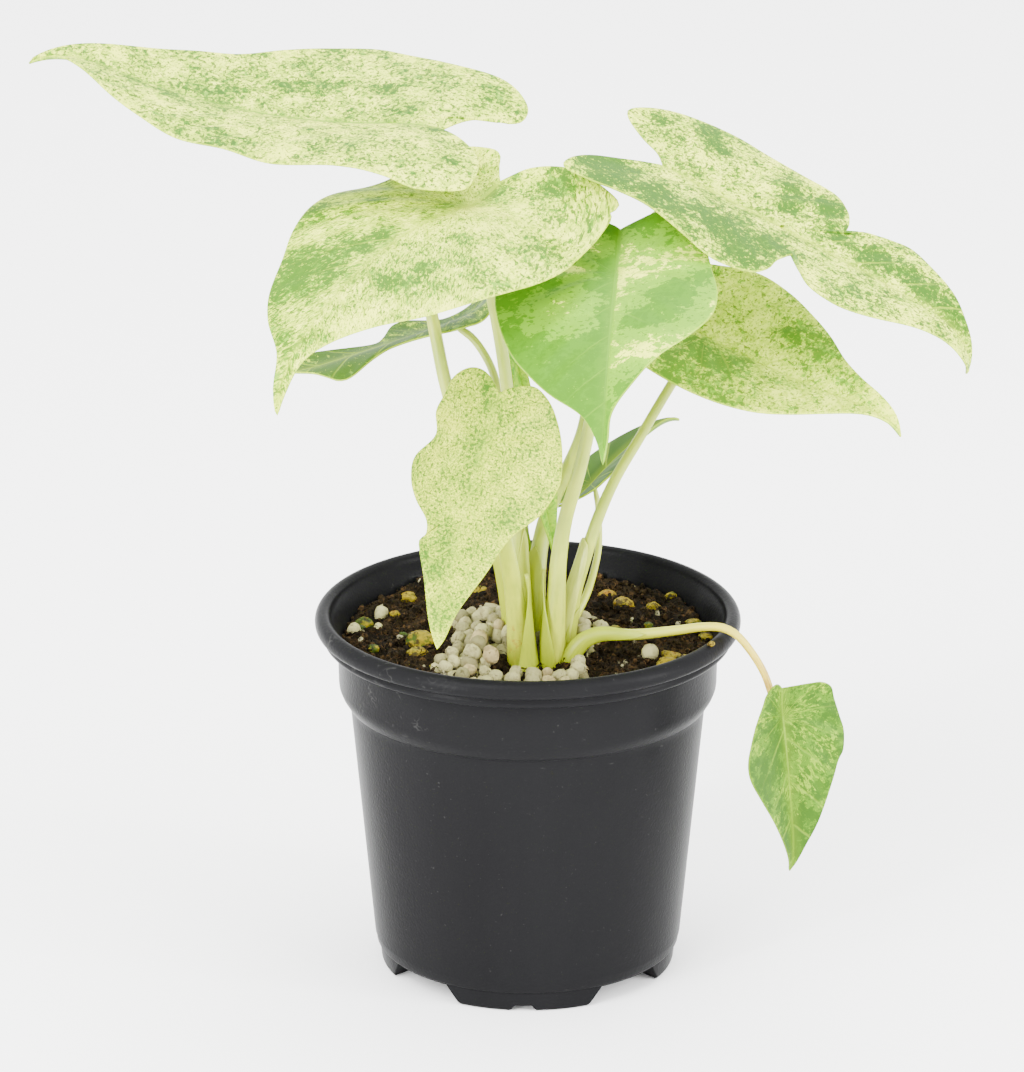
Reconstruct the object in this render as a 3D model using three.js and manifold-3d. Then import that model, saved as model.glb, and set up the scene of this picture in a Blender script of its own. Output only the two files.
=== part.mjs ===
// A variegated elephant's ear plant, Alocasia odora, in a black nursery pot.
// Millimetres, +Z up. Every place below is measured from the foot of the pot's axis, with the
// front of the pot at -Y. The finished group is then moved so that its origin lies on the ground
// under the middle of the whole outline.

import * as THREE from "three";
import { mergeVertices } from "three/addons/utils/BufferGeometryUtils.js";
import Module from "manifold-3d";

const wasm = await Module();
wasm.setup();

// Driving dimensions

const gap = 0.3; // left between pieces that touch

const pot = {
  rimRadius: 52.5,
  mouthRadius: 48.7,
  height: 92.1,
  bandRadius: 46.9, // the upper band, under the rim
  stepHeight: 69.4, // where the band steps in to the lower wall
  lowerRadius: 43.9,
  baseRadius: 38.1,
  footHeight: 4.9,
  floorThickness: 2,
  facets: 48,
};

const foot = {
  count: 4,
  turn: -1.7, // degrees, all four together
  innerRadius: 31,
  gapHalfWidthBelow: 12.9,
  gapHalfWidthAbove: 8.8,
  notchHalfWidthBelow: 4,
  notchHalfWidthAbove: 2.1,
  notchHeight: 1.7,
};

const drain = { radius: 3.5, circleRadius: 25, facets: 12 };

const soil = { level: 83.9, slope: 0.045, rings: 6 }; // it lies higher towards the back

const corm = { x: 3.2, y: -5.5, radius: 9.8, top: 71.7, bottom: 52, facets: 20 };
const cormRoom = 0.1; // more room round the corm, so that it opens into the holes of the stalks

const granule = { radius: 2.6, inset: 3.2, spacing: 4.9, spread: 0.25, tries: 6000, seed: 11 };
// The patch of granules: a flat bed, heaped up round the stalks at its centre
const bed = { x: -2, y: -7, bottom: 79.5, top: 84, heap: 3.2, heapRadius: 30 };
// Its outline, as seen from above
const bedOutline = [
  [-25, -17.5], [-22, -26.5], [-13, -33], [0, -35.5], [10, -34.5], [14, -28.5], [15, -17.5],
  [17, -7], [22, 2], [20, 11.5], [10, 16], [0, 19.5], [-10, 22], [-19, 16], [-19, 2], [-20, -9.5],
];

// Single granules and lumps of weathered fertiliser on the soil: x, y, half size
const looseGranules = [
  [-36.5, 16, 2.2], [-43, 2, 1.9], [-33.5, -19.5, 1.8], [30, -12.5, 2.7],
];
const lumps = [
  [-40.5, 12, 1.8], [-42, 7, 2], [-26.5, -1, 2.8], [-27, -9, 2], [-35.5, -19.5, 1.9],
  [-22.5, -15, 1.8], [20, 28.5, 1.8], [24, 21.5, 2.3], [31.5, 23, 1.8], [22, 7, 2.2],
  [41.5, 10.5, 2.2], [35, -9.5, 2.2], [34, -17.5, 2.3], [39, -13, 2], [13.5, -23, 1.6],
];

const bladeThickness = 0.8;

// Each leaf: "joint" is where the stalk meets the blade. From it the midrib runs "length" towards
// the tip, on the compass bearing "heading" (degrees from +X) and climbing at "pitch", which
// "droop" and "tipDroop" change along the way and "lobePitch" changes back through the two lobes.
// "fold" lifts each half from the midrib and "curl" bends it on outwards, left half first.
// The outlines give points along the midrib and out from it, between the tip and the notch.
const leaves = [
  {
    name: "back_left", colour: 0xd9e3a8,
    joint: [-34.6, 25.5, 208.6], heading: 166, pitch: -5, droop: 33, tipDroop: -57, lobePitch: 28,
    roll: -1, twist: 0, fold: [10, 12], curl: [-28, -5], ripple: 0.6, waves: 2.5,
    length: 93, lobe: 30, halfWidth: 37, notch: 13.5, spokes: 17, rings: 5,
    left: [[85, 2], [77, 9.5], [67, 17.5], [56, 23], [45, 28], [33, 29], [20, 33.5], [5, 32],
      [-8, 34.5], [-18, 37], [-28, 32.5], [-29.5, 26], [-27.5, 17], [-21, 8]],
    right: [[85, 5], [75.5, 11], [68, 16], [57, 23], [46, 27], [36, 34], [26, 39.5], [14, 43.5],
      [4, 41], [-9, 35], [-21, 31], [-28, 24], [-30, 17.5], [-28, 12.5], [-19, 8.3]],
    stalk: [[-2.8, 0, 72], [-3, 0, 84], [-5.6, 0, 105], [-13, 1.2, 128], [-19.7, 3, 148],
      [-23.3, 7, 165], [-27.3, 15.5, 181], [-31.2, 23.5, 196]],
    stalkRadius: [2.6, 1.4], stalkTaper: 2,
  },
  {
    name: "front_left", colour: 0xcfdf9c,
    joint: [-15.5, -6, 196.5], heading: -128, pitch: 3, droop: -50, tipDroop: -46, lobePitch: -54,
    roll: -3, twist: 2, fold: [3, 4], curl: [-26, -20], ripple: 0.6, waves: 2,
    length: 84, lobe: 24, halfWidth: 36, notch: 15, spokes: 17, rings: 5,
    left: [[78, 2], [70, 4], [64, 8], [56, 15], [46, 24], [32, 31], [18, 36], [6, 36.5],
      [-5, 33.5], [-14, 31.8], [-20, 30.5], [-22.5, 21.6], [-23.3, 13.5], [-20.5, 5]],
    right: [[78, 1.5], [70, 4], [62, 12], [54, 17.5], [42, 22.5], [30, 28.5], [16, 34], [4, 36],
      [-8, 30.5], [-16, 25.5], [-21.5, 17], [-23, 8], [-22.2, 4.2], [-19, 2.6]],
    stalk: [[-1, -5.3, 72], [-1, -5.3, 84], [-2.2, -4.6, 105], [-3.4, -3.4, 130],
      [-5.1, -2, 150], [-8.5, -2.4, 172], [-12, -4, 187]],
    stalkRadius: [2.6, 1.4], stalkTaper: 2,
  },
  {
    name: "front_centre", colour: 0x9cc86a,
    joint: [21, -20, 184], heading: -94, pitch: -12, droop: -27, tipDroop: -27, lobePitch: -20,
    roll: 10, twist: 14, fold: [12, 9], curl: [-28, -13], ripple: 0.4, waves: 2,
    length: 63.5, lobe: 23.5, halfWidth: 27, notch: 18.5, spokes: 15, rings: 5,
    left: [[58, 1.2], [51, 2], [44, 7], [37, 12.5], [31, 19.5], [24, 24.5], [15, 25.5],
      [4, 23.5], [-8, 21.5], [-17, 20], [-22, 15.5], [-22.5, 9.5], [-20.5, 4.5]],
    right: [[57, 2], [50, 6], [42, 14], [34, 20], [26, 24.5], [14, 28], [2, 29], [-9, 24.5],
      [-18, 20], [-23, 14.5], [-23, 8.5], [-21, 4]],
    stalk: [[6, -11, 72], [6.2, -11, 84], [6.9, -11, 99], [7.5, -11, 109], [9.1, -11.5, 119.6],
      [11.8, -12.5, 130], [14.2, -14, 141], [17.5, -17, 162]],
    stalkRadius: [2.8, 1.45], stalkTaper: 2.5,
  },
  {
    name: "back_right", colour: 0xcadb98,
    joint: [45, 12, 195], heading: -22, pitch: -21, droop: -4, tipDroop: -80, lobePitch: 0,
    roll: 2, twist: 4, fold: [12, 11], curl: [-18, -16], ripple: 0.5, waves: 3,
    length: 79.5, lobe: 30.5, halfWidth: 33, notch: 14, spokes: 18, rings: 5,
    left: [[74, 2], [68, 5], [62, 10], [55, 15], [47, 19.5], [41, 18.5], [36, 16.5],
      [33, 15.5], [31, 16.5], [29, 20], [24, 24.5], [14, 28], [4, 30.5], [-6, 32],
      [-16, 29.5], [-25, 25], [-31, 18.5], [-30.5, 14], [-24, 8.5], [-18, 5]],
    right: [[74, 5.5], [67, 10], [60, 14.5], [52, 21], [44, 24], [38, 22], [32, 19], [29, 18],
      [27, 21], [25, 28], [19, 33], [12, 34.5], [2, 31.5], [-8, 28.5], [-16, 28.5],
      [-23, 29.3], [-30, 28.5], [-31, 23], [-28.3, 16.3], [-22, 9.5]],
    stalk: [[2.6, -3.6, 72], [2.5, -3.4, 84], [2, -1, 98], [3.2, 2.5, 109], [5.6, 4.5, 117.5],
      [8.8, 5.5, 124.5], [13.5, 6.5, 136], [17, 9.5, 158], [22, 13, 177], [32, 14.5, 189]],
    stalkRadius: [2.4, 1.4], stalkTaper: 2,
  },
  {
    name: "right", colour: 0xb9d382,
    joint: [43.5, 5, 160.5], heading: -27, pitch: -20, droop: 13, tipDroop: -53, lobePitch: 2,
    roll: 14, twist: 3, fold: [16, 11], curl: [-8, -16], ripple: 0.4, waves: 2,
    length: 55.5, lobe: 22.5, halfWidth: 24, notch: 9, spokes: 14, rings: 5,
    left: [[51, 2.5], [46, 4.5], [40, 7], [33, 11], [26, 16.5], [19, 20.5], [10, 24], [0, 25],
      [-9, 21.5], [-17, 17.5], [-22, 12.5], [-21.5, 7.5], [-16, 4]],
    right: [[51, 1], [45, 3.5], [37, 9], [30, 14.5], [23, 19], [14, 22], [4, 23], [-6, 22],
      [-15, 18.5], [-21.5, 13], [-21.5, 7.5], [-16, 4]],
    stalk: [[8.8, -7, 72], [8.9, -7, 84], [11, -6.8, 97.5], [13.9, -6.3, 107.5],
      [17.2, -5.5, 118], [21.4, -4, 127.5], [27.2, -1.5, 137], [33.8, 1, 148],
      [39.5, 3.5, 156.5]],
    stalkRadius: [2.5, 1.2], stalkTaper: 2.5,
  },
  {
    name: "hanging_front", colour: 0xdde3a6,
    joint: [-10, -40, 149], heading: -125, pitch: -63, droop: 0, tipDroop: -36, lobePitch: 0,
    roll: 3, twist: -4, fold: [3, 3], curl: [-23, -20], ripple: 0, waves: 3,
    length: 51, lobe: 16.5, halfWidth: 22, notch: 12, spokes: 20, rings: 5,
    left: [[47.5, 2.4], [40.5, 4.9], [30.5, 9.5], [21.3, 13.2], [14.2, 19.1], [7, 21.8],
      [2.5, 21.6], [-4, 19.7], [-9.9, 16.4], [-13.4, 13], [-15.2, 9], [-14, 3.7]],
    right: [[45.3, 2.4], [36.2, 6.3], [28.6, 10.6], [26.3, 11.4], [24.7, 9.9], [21.2, 11.1],
      [17, 16.3], [12.4, 20], [7, 21], [1, 15.8], [-4.7, 17.9], [-9.1, 16.5], [-13.4, 15.2],
      [-16.2, 11.6], [-16.8, 7.5], [-15.4, 3.8]],
    stalk: [[-1.8, -11.5, 72], [-1.8, -11.6, 84], [-3.2, -14, 100], [-5.8, -21, 118],
      [-8.6, -30, 135]],
    stalkRadius: [3.1, 1.3], stalkTaper: 1.3,
  },
  {
    name: "back", colour: 0x86b36b,
    joint: [-18, 21, 159.2], heading: 200, pitch: -12, droop: 0, tipDroop: 8, lobePitch: -42,
    roll: 31, twist: -29, fold: [4, 3], curl: [-33, 30], ripple: 0, waves: 2,
    length: 42.3, lobe: 11, halfWidth: 11.8, notch: 6, spokes: 12, rings: 4,
    left: [[39, 3.5], [36.5, 8], [34.5, 11], [31, 11.5], [24, 8.3], [19, 6.5], [14, 7.3],
      [9, 9.8], [4, 13], [-2, 15], [-8, 14], [-11.5, 9], [-10, 4]],
    right: [[39.5, 5], [36, 7.8], [31, 7.5], [26, 6.2], [20, 4.5], [17, 7], [12.5, 12.8],
      [7.7, 14], [2, 12], [-4, 11], [-9, 10], [-11.5, 7], [-10, 3.5]],
    stalk: [[-0.8, 3.4, 72], [-0.9, 3.6, 84], [-1.8, 7, 105], [-4.5, 12, 125],
      [-7.6, 16, 144.5], [-9, 17, 149], [-11.3, 18.5, 153], [-14.5, 20, 156.8]],
    stalkRadius: [1.7, 1], stalkTaper: 2,
  },
  {
    name: "small_dark", colour: 0x6fa548,
    joint: [16.1, 14, 119.8], heading: 28, pitch: 42, droop: -20, tipDroop: -45, lobePitch: -38,
    roll: -8, twist: -4, fold: [14, 26], curl: [-12, -22], ripple: 0, waves: 2,
    length: 28.5, lobe: 12.5, halfWidth: 10.5, notch: 3, spokes: 11, rings: 4,
    left: [[26.5, 0.8], [23, 2.2], [18, 5], [12, 7.5], [6, 9.5], [0, 10.5], [-5, 9.5],
      [-10.5, 6.5], [-12.5, 3]],
    right: [[26.5, 0.8], [23, 2.2], [18, 5], [12, 9.5], [6, 11], [0, 9.5], [-5, 7.5],
      [-10.5, 4.5], [-12.5, 2.5]],
    stalk: [[9.4, -1.8, 72], [9.6, -1.6, 83], [10.6, -0.5, 88], [12.5, 1.5, 91],
      [14.8, 4.5, 95], [16.8, 7, 101.5], [17.6, 9.5, 106], [17.3, 12.8, 114]],
    stalkRadius: [1.4, 0.7], stalkTaper: 1.5,
  },
  {
    name: "drooping_side", colour: 0x9cc25c,
    joint: [62, -22, 72], heading: -56, pitch: -78, droop: -7, tipDroop: -28, lobePitch: -28,
    roll: -1, twist: 0, fold: [22, 25], curl: [-12, -11], ripple: 0, waves: 2,
    length: 39.7, lobe: 11.5, halfWidth: 16.5, notch: 7.5, spokes: 13, rings: 4,
    left: [[38, 0.8], [33, 3.3], [27, 7.1], [18, 11.3], [13, 13.4], [10.5, 15], [5.8, 15.6],
      [1.8, 14.8], [-3.2, 13.8], [-6.7, 13], [-8.4, 10.6], [-8.4, 7.5], [-8, 4]],
    right: [[35, 1.8], [25.5, 7.2], [18.5, 12], [12.4, 15.8], [8, 16.3], [3.4, 14.2],
      [-1.3, 11.2], [-5.3, 8.6], [-8.2, 7.2], [-9.8, 4.5], [-9.4, 2]],
    stalk: [[10, -12, 72], [10.2, -12.3, 82], [11.4, -12.5, 85.5], [13.6, -12.6, 88.3],
      [17.3, -13, 90.2], [26, -14.5, 90.7], [36.6, -16.5, 92.6], [42.5, -17.5, 93.8],
      [47.3, -18.3, 93.9], [50.6, -18.9, 92.4], [54.2, -19.4, 88.3], [57.6, -19.6, 82.5],
      [59.8, -20.4, 76.5]],
    stalkRadius: [2.1, 0.9], stalkTaper: 2,
  },
  {
    name: "young", colour: 0xc6d84e,
    joint: [-3.2, 5.5, 156], heading: -49, pitch: -73, droop: 0, tipDroop: 0, lobePitch: 0,
    roll: 0, twist: 0, fold: [30, 30], curl: [-16, -16], ripple: 0, waves: 2,
    length: 51, lobe: 5, halfWidth: 4.6, notch: 4, spokes: 11, rings: 4,
    left: [[46, 1.2], [40, 2.8], [32, 4.2], [22, 3.8], [12, 2.6], [3, 2.2], [-2, 2], [-4.5, 1.5]],
    right: [[46, 1.2], [40, 2.8], [32, 4.4], [22, 4.8], [12, 4.4], [3, 3.6], [-2, 3], [-4.5, 2]],
    stalk: [[2.2, 0.6, 72], [2, 0.8, 84], [0.2, 4, 100], [-1.5, 7, 118], [-3.5, 8.5, 136],
      [-3.8, 7.8, 148]],
    stalkRadius: [1.3, 0.9], stalkTaper: 1.5,
  },
];

const stalkSides = 8;
const stalkStep = 8; // mean length of one step along a stalk

const radians = THREE.MathUtils.degToRad;

// Solids and meshes

function toSolid(geometry) {
  const bare = geometry.clone();
  bare.deleteAttribute("normal");
  bare.deleteAttribute("uv");
  const merged = mergeVertices(bare, 1e-4);
  return new wasm.Manifold(
    new wasm.Mesh({
      numProp: 3,
      vertProperties: merged.attributes.position.array,
      triVerts: new Uint32Array(merged.index.array),
    }),
  );
}

function toMesh(name, solid, colour, roughness) {
  const { vertProperties, triVerts } = solid.getMesh();
  const geometry = new THREE.BufferGeometry();
  geometry.setAttribute("position", new THREE.BufferAttribute(vertProperties, 3));
  geometry.setIndex(new THREE.BufferAttribute(triVerts, 1));
  geometry.computeVertexNormals();
  const material = new THREE.MeshStandardMaterial({ color: colour, roughness, metalness: 0 });
  const mesh = new THREE.Mesh(geometry, material);
  mesh.name = name;
  return mesh;
}

// A cut can leave a scrap on the far side of the cutter; only the piece itself is kept.
function largestBody(solid) {
  return solid.decompose().reduce((best, body) => (body.volume() > best.volume() ? body : best));
}

function lathe(profile, facets) {
  const points = profile.map(([radius, z]) => new THREE.Vector2(radius, z));
  return new THREE.LatheGeometry(points, facets).rotateX(Math.PI / 2);
}

// A flat-ended tube along a curve, whose radius follows radiusAt(0..1)
function taperedTube(curve, radiusAt, sides, steps) {
  const section = new THREE.Shape();
  section.absarc(0, 0, 1, 0, 2 * Math.PI);
  const tube = new THREE.ExtrudeGeometry(section, {
    extrudePath: curve,
    steps,
    curveSegments: sides / 2, // a full circle takes two steps for each
    bevelEnabled: false,
  });
  const centres = curve.getSpacedPoints(steps);
  const position = tube.attributes.position;
  const vertex = new THREE.Vector3();
  for (let i = 0; i < position.count; i++) {
    vertex.fromBufferAttribute(position, i);
    const distances = centres.map((centre) => centre.distanceTo(vertex));
    const nearest = distances.indexOf(Math.min(...distances));
    const centre = centres[nearest];
    vertex.sub(centre).multiplyScalar(radiusAt(nearest / steps)).add(centre);
    position.setXYZ(i, vertex.x, vertex.y, vertex.z);
  }
  return tube;
}

function seededRandom(seed) {
  let state = seed;
  return () => {
    state = (state * 16807) % 2147483647;
    return state / 2147483647;
  };
}

// Pot

const wallProfile = {
  outer: [
    [pot.baseRadius - 1.4, pot.footHeight],
    [pot.baseRadius - 0.4, pot.footHeight + 0.8],
    [pot.baseRadius, pot.footHeight + 2.6],
    [pot.lowerRadius, pot.stepHeight - 1.4],
    [pot.lowerRadius + 0.3, pot.stepHeight - 0.2],
    [pot.lowerRadius + 1, pot.stepHeight + 0.2],
    [pot.bandRadius - 0.9, pot.stepHeight + 2],
    [pot.bandRadius - 0.2, pot.stepHeight + 4.6],
    [pot.bandRadius, pot.height - 7.7],
  ],
  rim: [
    [pot.rimRadius - 2.9, pot.height - 7.2],
    [pot.rimRadius - 2.2, pot.height - 6.6],
    [pot.rimRadius - 2, pot.height - 5.3],
    [pot.rimRadius - 2.2, pot.height - 4.8],
    [pot.rimRadius - 0.8, pot.height - 4.4],
    [pot.rimRadius - 0.1, pot.height - 3.4],
    [pot.rimRadius - 0.1, pot.height - 1.9],
    [pot.rimRadius - 0.7, pot.height - 0.6],
    [pot.rimRadius - 2, pot.height],
    [pot.mouthRadius + 0.5, pot.height - 0.4],
  ],
  inner: [
    [pot.mouthRadius, pot.height - 1.3],
    [pot.mouthRadius - 0.9, pot.height - 2.9],
    [pot.bandRadius - 1, pot.height - 6.5],
    [pot.bandRadius - 1.4, pot.stepHeight + 4],
    [pot.lowerRadius - 1.2, pot.stepHeight - 2.4],
    [pot.baseRadius - 1.2, pot.footHeight + pot.floorThickness + 0.7],
    [pot.baseRadius - 1.9, pot.footHeight + pot.floorThickness],
  ],
};

function innerWallRadius(z) {
  const wall = wallProfile.inner;
  const above = wall.findIndex(([, height]) => height <= z);
  if (above <= 0) return wall[0][0];
  const [[r1, z1], [r0, z0]] = [wall[above - 1], wall[above]];
  return r0 + ((r1 - r0) * (z - z0)) / (z1 - z0);
}

// A prism with a trapezoid section, lying along -Y, to cut the feet apart and to notch them
function trapezoidCutter(halfWidthBelow, halfWidthAbove, height, angle) {
  const shape = new THREE.Shape([
    new THREE.Vector2(-halfWidthBelow, -1),
    new THREE.Vector2(halfWidthBelow, -1),
    new THREE.Vector2(halfWidthAbove, height),
    new THREE.Vector2(-halfWidthAbove, height),
  ]);
  const reach = { from: foot.innerRadius - 8, depth: 30 };
  const prism = new THREE.ExtrudeGeometry(shape, { depth: reach.depth, bevelEnabled: false });
  return toSolid(prism.rotateX(Math.PI / 2).translate(0, -reach.from, 0).rotateZ(angle));
}

function feetSolid() {
  const footRing = lathe([
    [foot.innerRadius, 0],
    [pot.baseRadius - 2.4, 0],
    [pot.baseRadius - 1.4, 0.7],
    [pot.baseRadius - 1, pot.footHeight + 0.9],
    [foot.innerRadius - 1, pot.footHeight + 0.9],
    [foot.innerRadius, 0],
  ], pot.facets);
  let feet = toSolid(footRing);
  for (let i = 0; i < foot.count; i++) {
    const footAngle = radians(foot.turn) + (i * 2 * Math.PI) / foot.count;
    const gapAngle = footAngle + Math.PI / foot.count;
    feet = feet
      .subtract(trapezoidCutter(
        foot.gapHalfWidthBelow, foot.gapHalfWidthAbove, pot.footHeight, gapAngle,
      ))
      .subtract(trapezoidCutter(
        foot.notchHalfWidthBelow, foot.notchHalfWidthAbove, foot.notchHeight, footAngle,
      ));
  }
  return feet;
}

function potSolid() {
  const profile = [[0, pot.footHeight], ...wallProfile.outer, ...wallProfile.rim,
    ...wallProfile.inner, [0, pot.footHeight + pot.floorThickness]];
  let shell = toSolid(lathe(profile, pot.facets)).add(feetSolid());
  const drainPlaces = [new THREE.Vector2(0, 0)];
  for (let i = 0; i < foot.count; i++) {
    const angle = radians(foot.turn) + ((i + 0.5) * 2 * Math.PI) / foot.count;
    drainPlaces.push(new THREE.Vector2(Math.cos(angle), Math.sin(angle))
      .multiplyScalar(drain.circleRadius));
  }
  for (const place of drainPlaces) {
    const length = 4 * pot.floorThickness;
    const hole = new THREE.CylinderGeometry(drain.radius, drain.radius, length, drain.facets)
      .rotateX(Math.PI / 2)
      .translate(place.x, place.y, pot.footHeight + pot.floorThickness / 2);
    shell = shell.subtract(toSolid(hole));
  }
  return shell;
}

// Leaf blades

// The midrib seen from the side: distance forward, height and slope at u, with the joint at 0
function midribOf(leaf) {
  const steps = 60;
  const slopeAt = (u) => {
    if (u < 0) return radians(leaf.pitch - (leaf.lobePitch * u) / leaf.lobe);
    const share = u / leaf.length;
    const bend = Math.max(0, (share - 0.7) / 0.3) ** 2;
    return radians(leaf.pitch + leaf.droop * share + leaf.tipDroop * bend);
  };
  return (u) => {
    let along = 0;
    let height = 0;
    for (let i = 0; i < steps; i++) {
      const slope = slopeAt((u * (i + 0.5)) / steps);
      along += (Math.cos(slope) * u) / steps;
      height += (Math.sin(slope) * u) / steps;
    }
    return { along, height, slope: slopeAt(u) };
  };
}

// One half of the blade across the midrib: an arc that leaves at "fold" and turns by "curl"
function crossSection(distance, fold, curl, halfWidth) {
  const start = radians(fold);
  const rate = radians(curl) / halfWidth || 1e-9;
  return {
    out: (Math.sin(start + rate * distance) - Math.sin(start)) / rate,
    up: -(Math.cos(start + rate * distance) - Math.cos(start)) / rate,
  };
}

// The point of the blade at u along the midrib and v to its left, at the share "edgeward" of the
// way to the outline and the share "round" of the way from the tip to the notch
function bladeSurface(leaf) {
  const midrib = midribOf(leaf);
  const heading = radians(leaf.heading);
  const forward = new THREE.Vector3(Math.cos(heading), Math.sin(heading), 0);
  const leftward = new THREE.Vector3(-Math.sin(heading), Math.cos(heading), 0);
  const upward = new THREE.Vector3(0, 0, 1);
  const joint = new THREE.Vector3(...leaf.joint);
  return (u, v, edgeward, round) => {
    const { along, height, slope } = midrib(u);
    const half = v >= 0 ? 0 : 1;
    const { out, up } = crossSection(Math.abs(v), leaf.fold[half], leaf.curl[half], leaf.halfWidth);
    const wave = leaf.ripple * edgeward ** 2
      * Math.sin(2 * Math.PI * leaf.waves * round + 1.5 * half);
    const turn = radians(leaf.roll + (leaf.twist * Math.max(u, 0)) / leaf.length);
    const normal = forward.clone().multiplyScalar(-Math.sin(slope))
      .addScaledVector(upward, Math.cos(slope));
    const side = leftward.clone().multiplyScalar(Math.cos(turn))
      .addScaledVector(normal, Math.sin(turn));
    normal.multiplyScalar(Math.cos(turn)).addScaledVector(leftward, -Math.sin(turn));
    return joint.clone()
      .addScaledVector(forward, along)
      .addScaledVector(upward, height)
      .addScaledVector(side, half ? -out : out)
      .addScaledVector(normal, up + wave);
  };
}

// Points round the whole outline: tip, left side, notch, right side
function outlineOf(leaf) {
  const sideOf = (points, sign) => {
    const ends = [[leaf.length, 0], ...points, [-leaf.notch, 0]];
    const curve = new THREE.SplineCurve(ends.map(([u, v]) => new THREE.Vector2(u, v)));
    return curve.getSpacedPoints(leaf.spokes)
      .map((p, i) => ({ u: p.x, v: sign * p.y, round: i / leaf.spokes }));
  };
  const left = sideOf(leaf.left, 1);
  const right = sideOf(leaf.right, -1);
  return [...left, ...right.slice(1, -1).reverse()];
}

// A closed thin shell: rings of points from the joint out to the outline, on both faces
function bladeSolid(leaf, thickness) {
  const surface = bladeSurface(leaf);
  const outline = outlineOf(leaf);
  const count = outline.length;
  const middle = [surface(0, 0, 0, 0)];
  for (let ring = 1; ring <= leaf.rings; ring++) {
    const share = ring / leaf.rings;
    for (const { u, v, round } of outline) {
      middle.push(surface(share * u, v === 0 ? 0 : share * v, share, round));
    }
  }
  const at = (ring, spoke) => 1 + (ring - 1) * count + (spoke % count);
  const face = [];
  for (let spoke = 0; spoke < count; spoke++) {
    face.push(0, at(1, spoke), at(1, spoke + 1));
    for (let ring = 1; ring < leaf.rings; ring++) {
      const [a, b] = [at(ring, spoke), at(ring, spoke + 1)];
      const [c, d] = [at(ring + 1, spoke), at(ring + 1, spoke + 1)];
      if (spoke < count / 2) face.push(a, c, d, a, d, b);
      else face.push(a, c, b, b, c, d);
    }
  }
  const sheet = new THREE.BufferGeometry().setFromPoints(middle).setIndex(face);
  sheet.computeVertexNormals();
  const normal = new THREE.Vector3();
  const shifted = (amount) => middle.map((point, i) => {
    normal.fromBufferAttribute(sheet.attributes.normal, i);
    return point.clone().addScaledVector(normal, amount);
  });
  const closed = [...face];
  const below = middle.length;
  for (let i = 0; i < face.length; i += 3) {
    closed.push(face[i] + below, face[i + 2] + below, face[i + 1] + below);
  }
  for (let spoke = 0; spoke < count; spoke++) {
    const [a, b] = [at(leaf.rings, spoke), at(leaf.rings, spoke + 1)];
    closed.push(a, a + below, b, b, a + below, b + below);
  }
  const shell = new THREE.BufferGeometry()
    .setFromPoints([...shifted(thickness / 2), ...shifted(-thickness / 2)])
    .setIndex(closed);
  return toSolid(shell);
}

// Leaf stalks

function stalkSolid(leaf, extraRadius) {
  const points = [...leaf.stalk, leaf.joint].map((p) => new THREE.Vector3(...p));
  const curve = new THREE.CatmullRomCurve3(points);
  const [foot, tip] = leaf.stalkRadius;
  const radiusAt = (share) => tip + (foot - tip) * (1 - share) ** leaf.stalkTaper + extraRadius;
  const steps = Math.round(curve.getLength() / stalkStep);
  return toSolid(taperedTube(curve, radiusAt, stalkSides, steps));
}

// Corm, granules and soil

function cormSolid(extra) {
  const { radius, top, bottom } = corm;
  const profile = [
    [0, bottom - extra],
    [radius * 0.5 + extra, bottom + 1 - extra],
    [radius * 0.87 + extra, bottom + 5],
    [radius + extra, bottom + 11],
    [radius * 0.98 + extra, bottom + 16],
    [radius * 0.92 + extra, top + extra],
    [0, top + extra],
  ];
  return toSolid(lathe(profile, corm.facets).translate(corm.x, corm.y, 0));
}

function bedShape(extra) {
  const centre = new THREE.Vector2(bed.x, bed.y);
  const points = bedOutline.map(([x, y]) => {
    const outward = new THREE.Vector2(x, y).sub(centre);
    return outward.setLength(outward.length() + extra).add(centre);
  });
  return new THREE.Shape(points);
}

function bedSolid(extra, top) {
  const height = top - bed.bottom + extra;
  const slab = new THREE.ExtrudeGeometry(bedShape(extra), { depth: height, bevelEnabled: false });
  const lean = new THREE.Matrix4().makeShear(0, 0, 0, soil.slope, 0, 0);
  return toSolid(slab.translate(0, 0, bed.bottom - extra).applyMatrix4(lean));
}

function isInside(x, y, polygon) {
  let inside = false;
  polygon.forEach((a, i) => {
    const b = polygon[(i + 1) % polygon.length];
    if (a.y > y !== b.y > y && x < a.x + ((b.x - a.x) * (y - a.y)) / (b.y - a.y)) inside = !inside;
  });
  return inside;
}

function granuleSolid(x, y, z, radius, random) {
  const lump = new THREE.IcosahedronGeometry(radius, 0)
    .scale(0.9 + 0.3 * random(), 0.9 + 0.3 * random(), 0.85 + 0.25 * random())
    .rotateX(6 * random())
    .rotateZ(6 * random())
    .translate(x, y, z);
  return toSolid(lump);
}

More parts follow.
